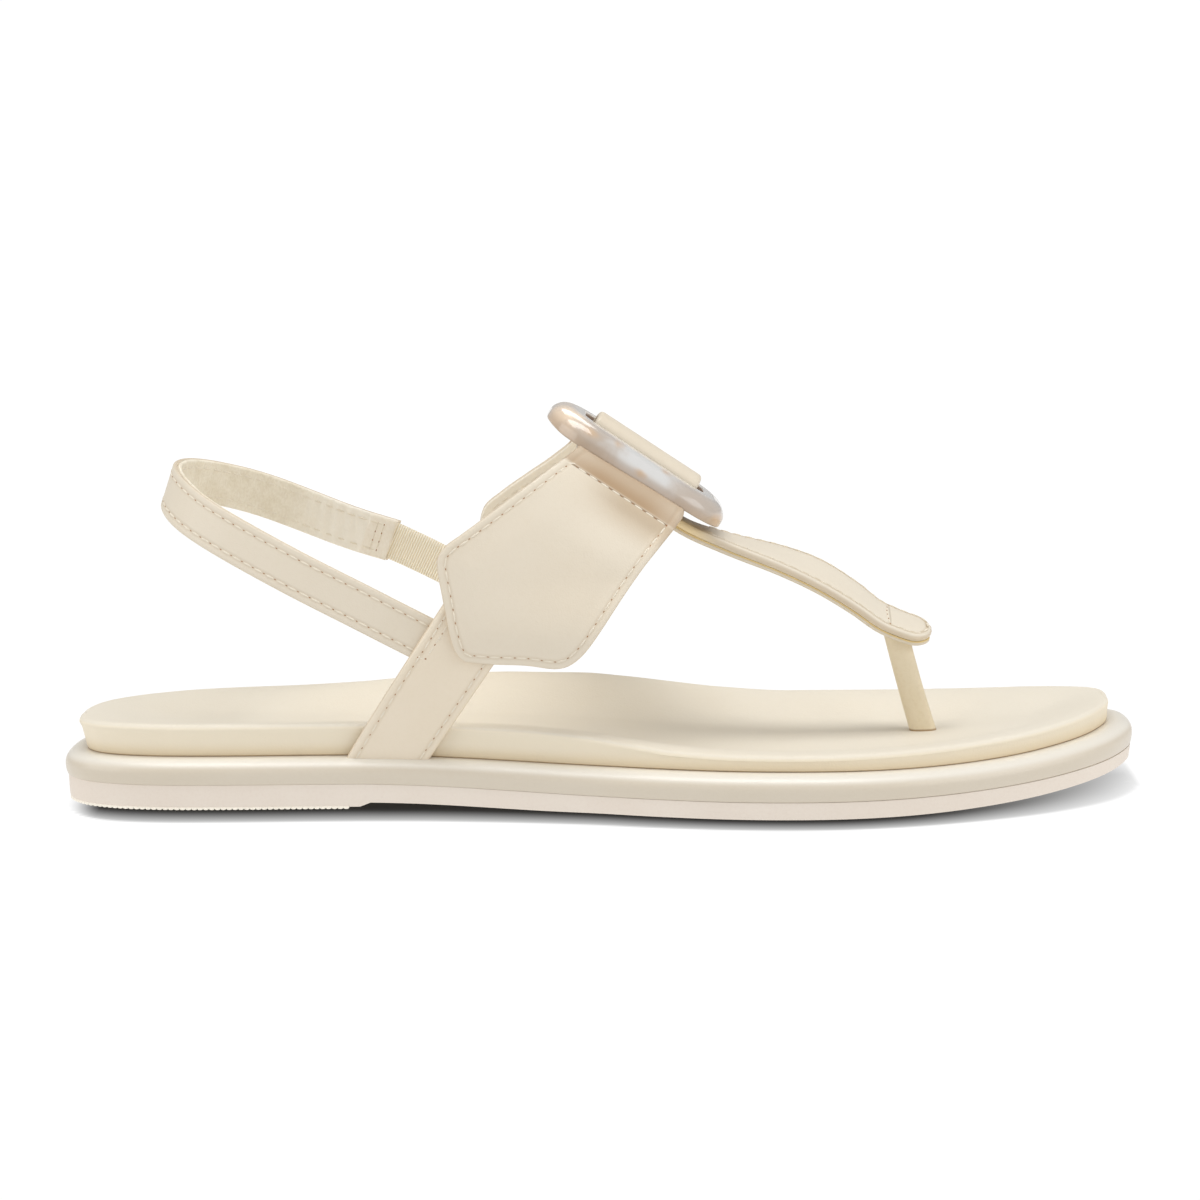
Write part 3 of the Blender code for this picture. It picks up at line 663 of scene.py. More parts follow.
def distance_to_line(points, line):
    """Shortest distance from each point to a closed line, in the plane."""
    run = np.roll(line, -1, axis=0) - line
    size = np.maximum(np.square(run).sum(axis=1), 1e-12)
    best = []
    for block in np.array_split(points, max(1, len(points) // 2000)):
        away = block[:, None] - line
        share = np.clip((away * run).sum(axis=2) / size, 0, 1)
        best.append(np.linalg.norm(away - share[..., None] * run, axis=2).min(axis=1))
    return np.concatenate(best)


FOOTBED_RIM = footbed_loop(1, RIM_ROUND, 0)


def footbed_top(plan, share):
    away = distance_to_line(plan, FOOTBED_RIM[:, :2])
    edge = rim_height(plan[:, 0], share)
    middle = crease_height(plan[:, 0]) + edge_curve(FOOTBED[:, 0], FOOTBED[:, 3], plan[:, 0])
    return edge + (middle - edge) * eased(away, 0, CUP_REACH)


def make_footbed():
    loops = [footbed_loop(*level) for level in WALL_LOOPS]
    for degrees in (0, 18, 36, 54, 72, 90):
        turn = math.radians(degrees)
        loops.append(footbed_loop(1, RIM_ROUND * (1 - math.cos(turn)), RIM_ROUND * (1 - math.sin(turn))))
    bm = layer_of_sole(loops, rungs=36, top=footbed_top)
    return finish_piece("cupped_footbed", bm, "footbed", "footbed_leather", FOOTBED_FINISH)


note_shape(make_footbed(), rand_top)

# %% [markdown]
# ## The foot inside the straps
# The straps lie on a foot. Its form is kept as one arch square to the slope of the instep, which
# blends into the footbed's own wall lower down. A place on it is given along the slope and round the
# arch, so a strap can be drawn flat, in millimetres, and then laid on the foot.

# %% Foot form
INSTEP_HEIGHT, INSTEP_FORWARD = 80.0, 8.0
INSTEP_SLOPE = math.radians(33.3)
# Columns: half width, drop below the middle of the buckle
ARCH = np.array((
    (0.0, 4.6), (7.0, 4.6), (13.0, 4.65), (17.0, 5.3), (21.2, 8.6), (25.6, 15.2), (29.0, 24.5),
    (31.4, 34.0), (33.0, 43.0), (33.8, 51.0), (34.0, 58.0), (33.0, 70.0), (31.0, 82.0), (28.0, 94.0),
    (26.0, 104.0)))
# Columns: height, lateral and medial half width where straps hug the footbed
WALL = np.array((
    (8.0, 26.7, 23.7), (12.5, 27.5, 24.4), (16.5, 28.3, 25.3), (20.5, 29.2, 26.3), (24.5, 30.2, 27.4),
    (30.0, 31.8, 29.2), (36.0, 33.1, 31.0), (43.0, 34.0, 32.3), (50.0, 33.8, 32.6), (60.0, 32.4, 31.8)))
WALL_BLEND = (56.0, 38.0)  # heights between which the arch turns into the wall
NUDGE = 0.02               # step along a curve that finds its direction


def slope_point(along, y, rise):
    """Point given along the slope (toe positive), across the foot and square to the slope."""
    x = INSTEP_FORWARD + rise * math.sin(INSTEP_SLOPE) + along * math.cos(INSTEP_SLOPE)
    z = INSTEP_HEIGHT + rise * math.cos(INSTEP_SLOPE) - along * math.sin(INSTEP_SLOPE)
    return np.stack(np.broadcast_arrays(x, y, z), axis=-1)


def foot_section(along, arc, side):
    half, drop = np.moveaxis(round_curve(ARCH, np.abs(arc)), -1, 0)
    half = half * np.where(arc < 0, -1, 1)
    z = slope_point(along, 0.0, -drop)[..., 2]
    wall = np.where(side < 0, edge_curve(WALL[:, 0], WALL[:, 1], z), edge_curve(WALL[:, 0], WALL[:, 2], z))
    return np.stack([half + (wall - half) * eased(z, *WALL_BLEND), drop], axis=-1)


def foot_point(along, arc, side, lift):
    """Point on the foot form, lifted square to it."""
    here = foot_section(along, arc, side)
    run = unit(foot_section(along, arc + NUDGE, side) - foot_section(along, arc - NUDGE, side))
    half = here[..., 0] + lift * run[..., 1]
    drop = here[..., 1] - lift * run[..., 0]
    return slope_point(along, side * half, -drop)


ARC_STEPS = np.linspace(0, len(ARCH) - 1, 561)
ARC_POINTS = round_curve(ARCH, ARC_STEPS)
GIRTH = marks_along(ARC_POINTS)


def girth_at(drop):
    return np.interp(drop, ARC_POINTS[:, 1], GIRTH)


print("girth from the ridge to the sole:", round(float(GIRTH[-1])), "mm")

# %% [markdown]
# ## A strap with rolled edges
# Every strap here is leather turned over at its edge, so its edge is a soft round and not a cut. Two
# sheets make it: the outer face and the inner one. They meet in a half-round along the outline, and
# the columns of the grid crowd there. Each point also carries notes for the finish: its distance to
# the outline and its place on the flat strap. Stitch rows are kept as runs on the flat strap until all
# the thread is sewn at once.

# %% Strap helper
EDGE_STEPS = np.array((0.0, 0.07, 0.22, 0.45, 0.75, 1.1, 1.5, 1.8, 2.1, 2.5, 3.1))
EDGE_LIMIT = 0.45          # the crowded steps take at most this share of a narrow width
STITCH = 3.2               # pitch of a stitch row
SEAMS = []


def spread(width, middle):
    """Places from 0 to each width, crowded near both ends."""
    near = EDGE_STEPS * np.minimum(1, EDGE_LIMIT * width[:, None] / EDGE_STEPS[-1])
    share = np.linspace(0, 1, middle + 2)[1:-1]
    inner = near[:, -1:] + (width[:, None] - 2 * near[:, -1:]) * share
    return np.hstack([near, inner, width[:, None] - near[:, ::-1]])


def strap_rim(length, edges, count=240):
    s = np.linspace(*length, count)
    left, right = edges(s)
    return np.vstack([np.column_stack([left, s]), np.column_stack([right, s])[::-1]])


def even_edges(left, right):
    """Edges of a strap that has one width from end to end."""
    return lambda s: (np.full(len(s), left), np.full(len(s), right))


def new_sheets(*notes):
    """An empty mesh whose points can carry a number under each note's name."""
    bm = bmesh.new()
    for note in notes:
        bm.verts.layers.float.new(note)
    return bm


def write_notes(bm, points, **notes):
    for note, values in notes.items():
        store = bm.verts.layers.float[note]
        for point, value in zip(points, values):
            point[store] = value


def add_strap(name, finish, length, edges, put, wall, rest=0.0, shape=None, across=12, along=60, curl=None,
              beyond=0.0):
    """A strap of the upper between two edges, laid on the shoe by put(x, s, lift).

    An end that is lasted in runs on beyond its cut, so it has no rolled edge there.
    """
    s = length[0] + spread(np.array([length[1] - length[0]]), along)[0]
    left, right = edges(s)
    x = left[:, None] + spread(right - left, across)
    s = np.repeat(s[:, None], x.shape[1], axis=1)
    flat = np.column_stack([x.ravel(), s.ravel()])
    inward = distance_to_line(flat, strap_rim((length[0], length[1] + beyond), edges))
    outer = np.ones(x.shape, bool)
    outer[1:-1, 1:-1] = False
    inward[outer.ravel()] = 0.0
    turn = np.clip(inward / (curl or 0.5 * wall), 0, 1)
    half = 0.5 * wall * np.sqrt(1 - np.square(1 - turn))
    form = shape(flat[:, 0], flat[:, 1], inward) * np.clip(inward, 0, 1) if shape else 0.0
    bm = new_sheets("edge", "wide", "run")
    for lift in (rest + half + form, rest - half + form):
        places = put(flat[:, 0], flat[:, 1], lift).reshape(*x.shape, 3)
        points, column, row = lay_sheet(bm, x.shape[1] - 1, x.shape[0] - 1, lambda i, j: places[j, i])
        spot = row * x.shape[1] + column
        write_notes(bm, points, edge=inward[spot], wide=flat[spot, 0], run=flat[spot, 1])
    finish_piece(name, bm, "upper", "strap_leather", finish)


def seam_run(rim, inset):
    """A line at an even inset inside a closed outline, without the knots that sharp corners give."""
    along = np.roll(rim, -1, axis=0) - np.roll(rim, 1, axis=0)
    along /= np.maximum(np.linalg.norm(along, axis=1), 1e-9)[:, None]
    inside = np.column_stack([-along[:, 1], along[:, 0]])
    area = np.sum(rim[:, 0] * np.roll(rim[:, 1], -1) - rim[:, 1] * np.roll(rim[:, 0], -1))
    run = rim + inside * inset * np.sign(area)
    return run[distance_to_line(run, rim) > 0.97 * inset]


def open_run(run):
    """Turns a run so that its widest gap falls between its end and its start."""
    gap = np.linalg.norm(run - np.roll(run, 1, axis=0), axis=1)
    return np.roll(run, -int(np.argmax(gap)), axis=0)


def flat_form(x, s):
    return np.zeros(len(x))


def sew(run, put, lift, pitch=STITCH, form=flat_form, pierced=True):
    SEAMS.append((np.asarray(run, float), put, lift, pitch, form, pierced))


print("points across a strap of 10 mm:", spread(np.array([10.0]), 12).shape[1])

# %% [markdown]
# ## Instep band
# The band is the large panel over the instep: it comes up from both side straps and runs under the
# buckle. Outer leather and lining are two layers. Below the buckle the band bends up to its loop,
# which leaves a soft trough across it, and the panel bellies a little between its stitch rows.

# %% Instep band
# Columns: drop, back edge and front edge along the slope
BAND_LATERAL = np.array((
    (5.0, -15.4, 15.3), (7.3, -16.7, 14.8), (11.2, -18.6, 14.1), (18.6, -21.8, 13.1), (28.7, -25.8, 12.6),
    (34.5, -28.1, 12.5), (38.3, -29.6, 12.4), (40.8, -29.9, 12.2), (42.6, -29.3, 11.9), (45.5, -26.9, 10.9),
    (47.8, -24.6, 8.9), (51.2, -21.3, 2.2), (55.5, -17.0, -4.9), (57.7, -13.8, -9.0), (58.4, -12.0, -10.4)))
BAND_MEDIAL = np.array((
    (5.0, -15.4, 15.3), (6.9, -15.5, 14.9), (13.4, -17.2, 14.5), (19.1, -19.4, 14.2), (27.5, -22.5, 13.7),
    (33.1, -24.0, 13.3), (36.5, -23.1, 12.7), (41.5, -19.0, 8.6), (46.5, -14.0, 1.5), (50.0, -10.5, -4.6)))
PANEL_LIFT = 1.7
BAND_LENGTH = (-girth_at(BAND_LATERAL[-1, 0]), girth_at(BAND_MEDIAL[-1, 0]))
BAND_WALL, BAND_REST = 1.4, 0.35
BAND_LINING, LINING_REST = 0.7, -0.7
LINING_TRIM = 0.25         # the lining ends this far inside the band's edge
LINING_PROUD = 0.08        # how far stitches stand out of a lining
CROSS_ROW = 21.7           # girth of the stitch row below the buckle
RING_LIFT, RING_LIFT_BACK = 0.95, 0.8     # the band rises to the ring, and less so at its back edge
HOLLOW_DEEP, BELLY_HIGH, FOLD_DEEP = 0.8, 0.4, 0.2


def band_edges(s):
    """Back and front edge at a girth: negative on the lateral side, positive on the medial one."""
    drop = np.interp(np.abs(s), GIRTH, ARC_POINTS[:, 1])
    return tuple(np.where(s < 0, edge_curve(BAND_LATERAL[:, 0], BAND_LATERAL[:, k], drop),
                          edge_curve(BAND_MEDIAL[:, 0], BAND_MEDIAL[:, k], drop)) for k in (1, 2))


def band_put(x, s, lift):
    arc = np.interp(np.abs(s), GIRTH, ARC_STEPS)
    return foot_point(x, arc, np.where(s < 0, -1.0, 1.0), PANEL_LIFT + lift)


def swell(t):
    """A soft ridge: 1 at t = 0, fading out to both sides."""
    return np.exp(-np.square(t))


def band_shape(x, s, inward):
    """Creases of the band: places are girths, places along the slope and distances to its edge, in mm."""
    girth = np.abs(s)
    under_ring = RING_LIFT - RING_LIFT_BACK * eased(x, 12.0, -18.0)
    under_ring = under_ring * eased(girth, 20.0, 16.5) * eased(girth, 9.0, 14.0)
    hollow = eased(girth, CROSS_ROW + 0.2, CROSS_ROW + 3.8) * eased(girth, 38.0, 26.0)
    hollow = hollow * eased(x, -12.0, 0.0) * eased(inward, 0.8, 3.8)
    belly = eased(inward, 2.2, 9.2) * eased(girth, 29.0, 38.0)
    fold = swell((girth - 44.0 - 0.35 * x) / 4.0) * eased(x, 2.0, 10.0) * eased(inward, 2.0, 6.0)
    return under_ring - HOLLOW_DEEP * hollow + BELLY_HIGH * belly - FOLD_DEEP * fold


def lining_edges(s):
    back, front = band_edges(s)
    trim = np.minimum(LINING_TRIM, 0.3 * (front - back))
    return back + trim, front - trim


print("band from tip to tip:", round(float(BAND_LENGTH[1] - BAND_LENGTH[0])), "mm")

# %% Band finish
# Shades of the band: girths, places along the slope and distances in mm between which each comes in
RING_SHADE, RING_SHADE_END = (CROSS_ROW - 4.5, CROSS_ROW - 1.0), (CROSS_ROW + 0.3, CROSS_ROW - 0.8)
RING_SHADE_EDGE = (0.0, 10.0)
HOLLOW_START, HOLLOW_END = (CROSS_ROW - 0.5, CROSS_ROW + 0.5), (CROSS_ROW + 10.0, CROSS_ROW + 0.5)
HOLLOW_FRONT = (-14.0, 3.0)
CROSS_LINE, CROSS_LINE_EDGE = (0.34, 0.08), (1.7, 2.2)


def band_paint(tree, colour):
    """Warm shade under the ring, a soft one in the hollow, and painted shade along the line of the cross row.
    """
    girth = maths(tree, "ABSOLUTE", attribute(tree, "run"))
    edge = attribute(tree, "edge")
    inner = maths(tree, "MULTIPLY_ADD", fade(tree, edge, *RING_SHADE_EDGE), 0.3, 0.7)
    shade = maths(tree, "MULTIPLY_ADD", fade(tree, girth, *RING_SHADE), 0.25, 0.72)
    shade = times(tree, shade, fade(tree, girth, *RING_SHADE_END))
    colour = tint(tree, colour, shade, inner, srgb(172, 143, 110))
    hollow = times(tree, fade(tree, girth, *HOLLOW_END), fade(tree, girth, *HOLLOW_START))
    hollow = times(tree, hollow, fade(tree, attribute(tree, "wide"), *HOLLOW_FRONT))
    colour = tint(tree, colour, hollow, 0.68, srgb(184, 160, 128))
    away = away_from(tree, girth, CROSS_ROW)
    line = times(tree, fade(tree, away, *CROSS_LINE), fade(tree, edge, *CROSS_LINE_EDGE))
    return tint(tree, colour, line, 0.75, srgb(122, 94, 62))


BAND_FINISH = leather("cream_band_leather", srgb(225, 214, 195), srgb(214, 199, 174),
                      inset=SEAM_INSET, **SATIN)
paint_over(BAND_FINISH, band_paint)
print("nodes in the finish of the band:", len(BAND_FINISH.node_tree.nodes))

# %% Lay the band and its lining
add_strap("instep_band", BAND_FINISH, BAND_LENGTH, band_edges, band_put, BAND_WALL, BAND_REST, band_shape,
          across=40, along=170)
add_strap("instep_lining", LIT_BAND_LINING_FINISH, BAND_LENGTH, lining_edges, band_put, BAND_LINING, LINING_REST,
          band_shape, across=24, along=90)
BAND_RIM = strap_rim(BAND_LENGTH, band_edges, 700)
BAND_RUN = seam_run(BAND_RIM, SEAM_INSET)


def band_form(x, s):
    return band_shape(x, s, distance_to_line(np.column_stack([x, s]), BAND_RIM))


for side in (-1, 1):
    run = open_run(BAND_RUN[side * BAND_RUN[:, 1] > CROSS_ROW])
    run = np.vstack([run, run[:1]])
    sew(run, band_put, BAND_REST + 0.5 * BAND_WALL, form=band_form)
    sew(run, band_put, LINING_REST - 0.5 * BAND_LINING - LINING_PROUD, form=band_form, pierced=False)

# %% [markdown]
# ## Side straps
# A strap on each side comes down from the band and is lasted into the crease between footbed and
# rand. Beside its back edge a box of stitches holds the end of the heel sling, or of the elastic.

# %% Side straps
STRAP_WALL = 2.1
SIDE_TOP_DROP = 40.0
SIDE_EDGES = {-1: (-22.5, -4.3), 1: (-18.5, -0.3)}
SIDE_BOX = {-1: 27.0, 1: 19.0}         # length of the box of stitches
BOX_INSET, BOX_WIDE = 3.7, 1.7         # its inner row from the strap's edge, and its width
SIDE_TAPER = 1.3           # the back edge draws in towards the foot
SIDE_TUCK = 0.7            # how far the strap goes down into the crease
ARC_STEP_DROP = 8.5        # a step of the arch is about this many millimetres of height


def side_foot(along, side):
    """Arc of the foot form where the strap meets the sole."""
    foot = np.full(len(along), np.interp(SIDE_TOP_DROP, ARC_POINTS[:, 1], ARC_STEPS))
    for _ in range(10):
        here = foot_point(along, foot, side, 0.0)
        foot += (here[:, 2] - crease_height(here[:, 0]) + SIDE_TUCK) / ARC_STEP_DROP
    return foot


def side_strap_maps(side):
    top = np.interp(SIDE_TOP_DROP, ARC_POINTS[:, 1], ARC_STEPS)
    stations = np.linspace(*SIDE_EDGES[side], 9)
    feet = side_foot(stations, side)
    length = float(np.interp(feet.mean(), ARC_STEPS, GIRTH) - girth_at(SIDE_TOP_DROP))

    def put(x, s, lift):
        foot = np.interp(x, stations, feet)
        return foot_point(x, top + (foot - top) * s / length, side, lift)

    def edges(s):
        back, front = SIDE_EDGES[side]
        return back + SIDE_TAPER * (s / length) ** 3, np.full(len(s), front)
    return length, edges, put


for side, name in ((-1, "side_strap_lateral"), (1, "side_strap_medial")):
    length, edges, put = side_strap_maps(side)
    add_strap(name, SIDE_LIT_FINISH, (0.0, length), edges, put, STRAP_WALL, along=40, beyond=8.0)
    s = np.linspace(0, length, 60)
    back, front = edges(s)
    top = 0.5 * STRAP_WALL
    sew(np.column_stack([back + SEAM_INSET, s]), put, top)
    sew(np.column_stack([front - SEAM_INSET, s]), put, top)
    box, inner = SIDE_BOX[side], back[0] + BOX_INSET
    sew([(inner, 0.0), (inner, box)], put, top)
    sew([(inner - BOX_WIDE, box), (inner, box)], put, top, pitch=BOX_WIDE)
    print(name, "is", round(length, 1), "mm long")

# %% [markdown]
# ## Bar strap
# The end of the band comes up through the buckle, over its bar and down again. Only its smooth crown
# shows in the slot of the ring. It is drawn across the foot as a low arch.

# %% Bar strap
LOOP_WIDTH = (-14.5, 15.3)
LOOP_WALL = 2.0
# Columns: across the foot, rise above the middle of the buckle
LOOP = np.array((
    (-8.6, -3.6), (-6.4, -3.0), (-4.95, -1.6), (-4.85, 0.4), (-4.8, 2.4), (-4.2, 4.1), (-2.4, 5.2),
    (0.0, 5.5), (2.4, 5.2), (4.2, 4.1), (4.8, 2.4), (4.85, 0.4), (4.95, -1.6), (6.4, -3.0), (8.6, -3.6)))


def measured(rows, count=400):
    """A round curve by its length: places u along the rows, and the length up to each."""
    u = np.linspace(0, len(rows) - 1, count)
    return u, marks_along(round_curve(rows, u))


def heading(rows, u, step=NUDGE):
    """Direction of the round curve at u."""
    return unit(round_curve(rows, u + step) - round_curve(rows, u - step))


LOOP_U, LOOP_S = measured(LOOP)


def loop_put(x, s, lift):
    u = np.interp(s, LOOP_S, LOOP_U)
    y, rise = round_curve(LOOP, u).T
    run = heading(LOOP, u)
    return slope_point(x, y - lift * run[:, 1], rise + lift * run[:, 0])


add_strap("bar_strap", PLAIN_FINISH, (0.0, LOOP_S[-1]), even_edges(*LOOP_WIDTH), loop_put, LOOP_WALL,
          across=14, along=50)

# %% [markdown]
# ## T-strap
# The T-strap runs from under the buckle to the toe post. It is a thick folded leather on a thin
# lining, with a line of old glue between them along the edge. Its tip is round, and stitched round.

# %% T-strap
# Columns: x, y and z of the middle of the wall, half width, tilt of the inner edge in degrees
T_STRAP = np.array((
    (-2.4, 0.0, 80.6, 7.4, 0.0), (9.3, 0.0, 72.8, 7.4, -1.0), (18.8, 0.0, 65.3, 7.5, -2.0),
    (30.0, 0.6, 60.6, 7.6, 3.0), (43.3, 2.0, 56.2, 7.7, 12.0), (53.0, 3.6, 52.0, 7.4, 19.0),
    (61.6, 5.1, 46.6, 7.0, 20.0), (68.2, 6.4, 41.6, 6.8, 18.0), (75.0, 7.6, 38.4, 6.6, 17.0),
    (79.2, 8.2, 37.4, 6.3, 16.0), (81.4, 8.5, 37.1, 6.1, 16.0)))
T_WALL = 3.3
T_U, T_S = measured(T_STRAP[:, :3])
T_TIP, TIP_POWER = 5.6, 2.4            # its round tip: length, and how square the round is
T_INSET = 1.25
T_ROW_START = 33.0         # the stitch rows come out from under the ring here
T_SEAM = 84.0              # the end of the strap is turned over and sewn across here
T_CROWN, TIP_STEP = 0.25, 0.12         # rise of its middle, and of the turned end


def t_put(x, s, lift):
    u = np.interp(s, T_S, T_U)
    middle = round_curve(T_STRAP, u)
    tilt = np.radians(middle[:, 4])
    wide = np.column_stack([np.zeros(len(u)), np.cos(tilt), np.sin(tilt)])
    up = unit(np.cross(heading(T_STRAP[:, :3], u), wide))
    return middle[:, :3] + wide * x[:, None] + up * np.broadcast_to(lift, len(x))[:, None]


def t_edges(trim):
    def edges(s):
        half = round_curve(T_STRAP, np.interp(s, T_S, T_U))[:, 3] - trim
        into_tip = np.clip((s - (T_S[-1] - T_TIP)) / T_TIP, 0, 1)
        half = half * np.sqrt(np.maximum(1 - into_tip ** TIP_POWER, 0.0004))
        return -half, half
    return edges


def t_shape(x, s, inward):
    return T_CROWN * eased(inward, 1.2, 4.2) + TIP_STEP * eased(s, T_SEAM, T_SEAM + 0.5)


def t_form(x, s):
    return t_shape(x, s, t_edges(0.0)(s)[1] - np.abs(x))


print("T-strap:", round(float(T_S[-1])), "mm of strap")

# %% T-strap finish
# Painted shades and the cut line of the T-strap: distances and lengths in mm between which each comes in
T_DENT, T_SHADE = (0.6, 0.2), (37.0, 28.0)
T_CUT, T_CUT_EDGE = (0.4, 0.08), (1.0, 1.5)


def t_paint(tree, colour):
    """Painted shade in the dent of the seam, an olive shade under the ring, and the cut where the tip begins.
    """
    run, edge = attribute(tree, "run"), attribute(tree, "edge")
    dent = fade(tree, away_from(tree, edge, T_INSET), *T_DENT)
    colour = tint(tree, colour, dent, 0.45, srgb(192, 174, 142))
    colour = tint(tree, colour, fade(tree, run, *T_SHADE), 0.7, srgb(246, 224, 172))
    away = away_from(tree, run, T_SEAM)
    line = times(tree, fade(tree, away, *T_CUT), fade(tree, edge, *T_CUT_EDGE))
    return tint(tree, colour, line, 0.42, srgb(156, 138, 110))


T_FINISH = leather("cream_t_strap_leather", srgb(227, 217, 199), srgb(217, 204, 181), inset=T_INSET, **SATIN)
paint_over(T_FINISH, t_paint)
GLUE_FINISH = leather("glue_line", srgb(232, 208, 150), srgb(216, 188, 128), roughness=0.5)
print("nodes in the finish of the T-strap:", len(T_FINISH.node_tree.nodes))

# %% Layers and rows of the T-strap
T_TOP_WALL, T_TOP_REST = 2.1, 0.6
T_FACE = T_TOP_REST + 0.5 * T_TOP_WALL
T_CURL = 0.95              # largest round of a layer's edge
ROW_PROUD, CROSS_PROUD = 0.12, 0.06    # how far its stitches stand out
CROSS_HALF, CROSS_BOW, CROSS_BACK = 5.2, 0.03, 0.9
# Name, wall, rest, trim of the edge and finish of each layer
T_LAYERS = (("t_strap_top", T_TOP_WALL, T_TOP_REST, 0.0, T_FINISH),
            ("t_strap_glue", 0.34, -0.55, 0.35, GLUE_FINISH),
            ("t_strap_lining", 1.05, -1.12, 0.35, PLAIN_FINISH))
for name, wall, rest, trim, finish in T_LAYERS:
    add_strap(name, finish, (0.0, T_S[-1] - trim), t_edges(trim), t_put, wall, rest,
              t_shape if trim == 0 else None, along=110, curl=min(T_CURL, 0.5 * wall))
T_RUN = seam_run(strap_rim((0.0, T_S[-1]), t_edges(0.0), 500), T_INSET)
sew(open_run(T_RUN[T_RUN[:, 1] > T_ROW_START]), t_put, T_FACE + ROW_PROUD, form=t_form, pierced=False)
across = np.linspace(-CROSS_HALF, CROSS_HALF, 30)
sew(np.column_stack([across, T_SEAM - CROSS_BACK + CROSS_BOW * across ** 2]), t_put, T_FACE + CROSS_PROUD,
    pitch=2.0, form=t_form)

# %% [markdown]
# ## Heel sling
# The sling runs from the lateral side strap round the heel to the elastic on the inner side. It is a
# smooth outer leather and a napped lining, sewn along both edges, so its top edge shows two rims. The
# strap stands on edge: at each place its width direction comes from its run and its lean.

# %% Middle lines of sling and elastic
# Columns: x, y and z of the middle line, lean of the face in degrees
SLING = np.array((
    (-34.0, -31.6, 37.3, -9.0), (-43.7, -32.2, 42.1, -5.0), (-57.9, -31.0, 49.2, 2.0),
    (-75.5, -27.0, 57.6, 6.0), (-92.7, -19.5, 66.0, 12.0), (-101.7, -11.8, 71.0, 18.0),
    (-105.9, -1.5, 74.8, 18.0), (-103.2, 8.0, 75.4, 14.0), (-95.0, 17.0, 73.2, 10.0),
    (-83.5, 23.2, 69.2, 6.0), (-64.5, 29.5, 61.0, 2.0), (-52.8, 31.6, 57.0, 0.0)))
GORE = np.array((
    (-55.0, 31.3, 57.9, 0.0), (-51.9, 31.6, 56.5, 0.0), (-46.0, 31.3, 53.8, 0.0), (-40.0, 30.7, 50.9, 0.0),
    (-34.0, 29.8, 48.1, -2.0), (-26.0, 28.8, 44.6, -4.0)))
SLING_WIDTH, GORE_WIDTH = 10.8, 9.6
SLING_MIDDLE = np.array((-70.0, 0.0))
OUT_SHARE = np.array((0.35, 1.0))      # faces look less along the foot than across it


def ribbon_maps(rows):
    """Length of a strap that stands on edge along rows, and how to lay it."""
    u_marks, s_marks = measured(rows[:, :3])

    def put(x, s, lift):
        u = np.interp(s, s_marks, u_marks)
        middle = round_curve(rows, u)
        ahead = heading(rows[:, :3], u)
        out = unit((middle[:, :2] - SLING_MIDDLE) * OUT_SHARE)
        out = np.column_stack([out, np.tan(np.radians(middle[:, 3]))])
        wide = unit(np.cross(ahead, out))
        wide *= np.sign(wide[:, 2])[:, None]
        face = np.cross(wide, ahead)
        face *= np.sign((face * out).sum(axis=1))[:, None]
        return middle[:, :3] + wide * x[:, None] + face * np.broadcast_to(lift, len(x))[:, None]
    return s_marks[-1], put


SLING_LENGTH, sling_put = ribbon_maps(SLING)
sling_edges = even_edges(-0.5 * SLING_WIDTH, 0.5 * SLING_WIDTH)
print("heel sling:", round(SLING_LENGTH), "mm of strap")

# %% Lining finish
HEM = 7.5                  # the end of the lining is turned and smooth
SLING_INNER = SLING_LENGTH - 0.9
PALE_END = (SLING_INNER - 34.0, SLING_INNER - 12.0)


def suede(name, colour, tone, depth=0.00012):
    """Napped leather: short fibres in patches that lean different ways."""
    finish, tree, shader = new_finish(name, roughness=0.92, specular_ior_level=0.2, sheen_weight=0.25,
                                      sheen_roughness=0.5)
    place = add_node(tree, "ShaderNodeTexCoord").outputs["Object"]
    lean = add_node(tree, "ShaderNodeMapping", {"Vector": place, "Rotation": (0.3, 0.5, 0.8),
                                                "Scale": (1.0, 1.0, 0.6)}).outputs[0]
    hair = noise(tree, 2200.0, 3.0, lean)
    patch = noise(tree, 260.0, 4.0, place)
    share = maths(tree, "ADD", times(tree, fade(tree, hair, 0.35, 0.7), 0.5),
                  times(tree, fade(tree, patch, 0.35, 0.65), 0.5))
    tree.links.new(blend_colours(tree, share, colour, tone), shader.inputs["Base Color"])
    relief(tree, shader, maths(tree, "ADD", hair, patch), depth)
    return finish


def lining_paint(tree, colour):
    """The lining is paler where it is sewn to the elastic."""
    return tint(tree, colour, fade(tree, attribute(tree, "run"), *PALE_END), 0.75, srgb(252, 247, 236))


LINING_FINISH = suede("napped_lining", srgb(240, 232, 214), srgb(226, 215, 192))
paint_over(LINING_FINISH, lining_paint)
HEM_FINISH = suede("smooth_hem", srgb(248, 241, 228), srgb(240, 231, 214), depth=0.00004)
print("finishes of the lining:", LINING_FINISH.name, HEM_FINISH.name)

# %% Lay the sling and its lining
SLING_WALL, SLING_REST = 1.2, 0.5
NAP_WALL, NAP_REST = 1.0, -0.6
HEM_WALL = 1.15
WRINKLE_HIGH, WRINKLE_WAVE, WRINKLE_SLANT = 0.2, 3.6, 0.3
WRINKLE_BACK, WRINKLE_REACH = 17.0, 9.0       # the wrinkles' middle from the end, and how far they spread
HEM_PROUD, END_PROUD = 0.045, 0.025           # how far stitches stand out of the hem
SLING_ROW = (4.0, 3.0)                        # the long rows stop short of the ends by this much
END_ROWS, END_HALF, END_PITCH = (3.0, 4.7), 3.4, 2.2


def lining_shape(x, s, inward):
    """Soft wrinkles across the lining, short of its end."""
    wave = np.sin(2 * math.pi * (s + WRINKLE_SLANT * x) / WRINKLE_WAVE)
    return WRINKLE_HIGH * swell((s - SLING_INNER + WRINKLE_BACK) / WRINKLE_REACH) * wave


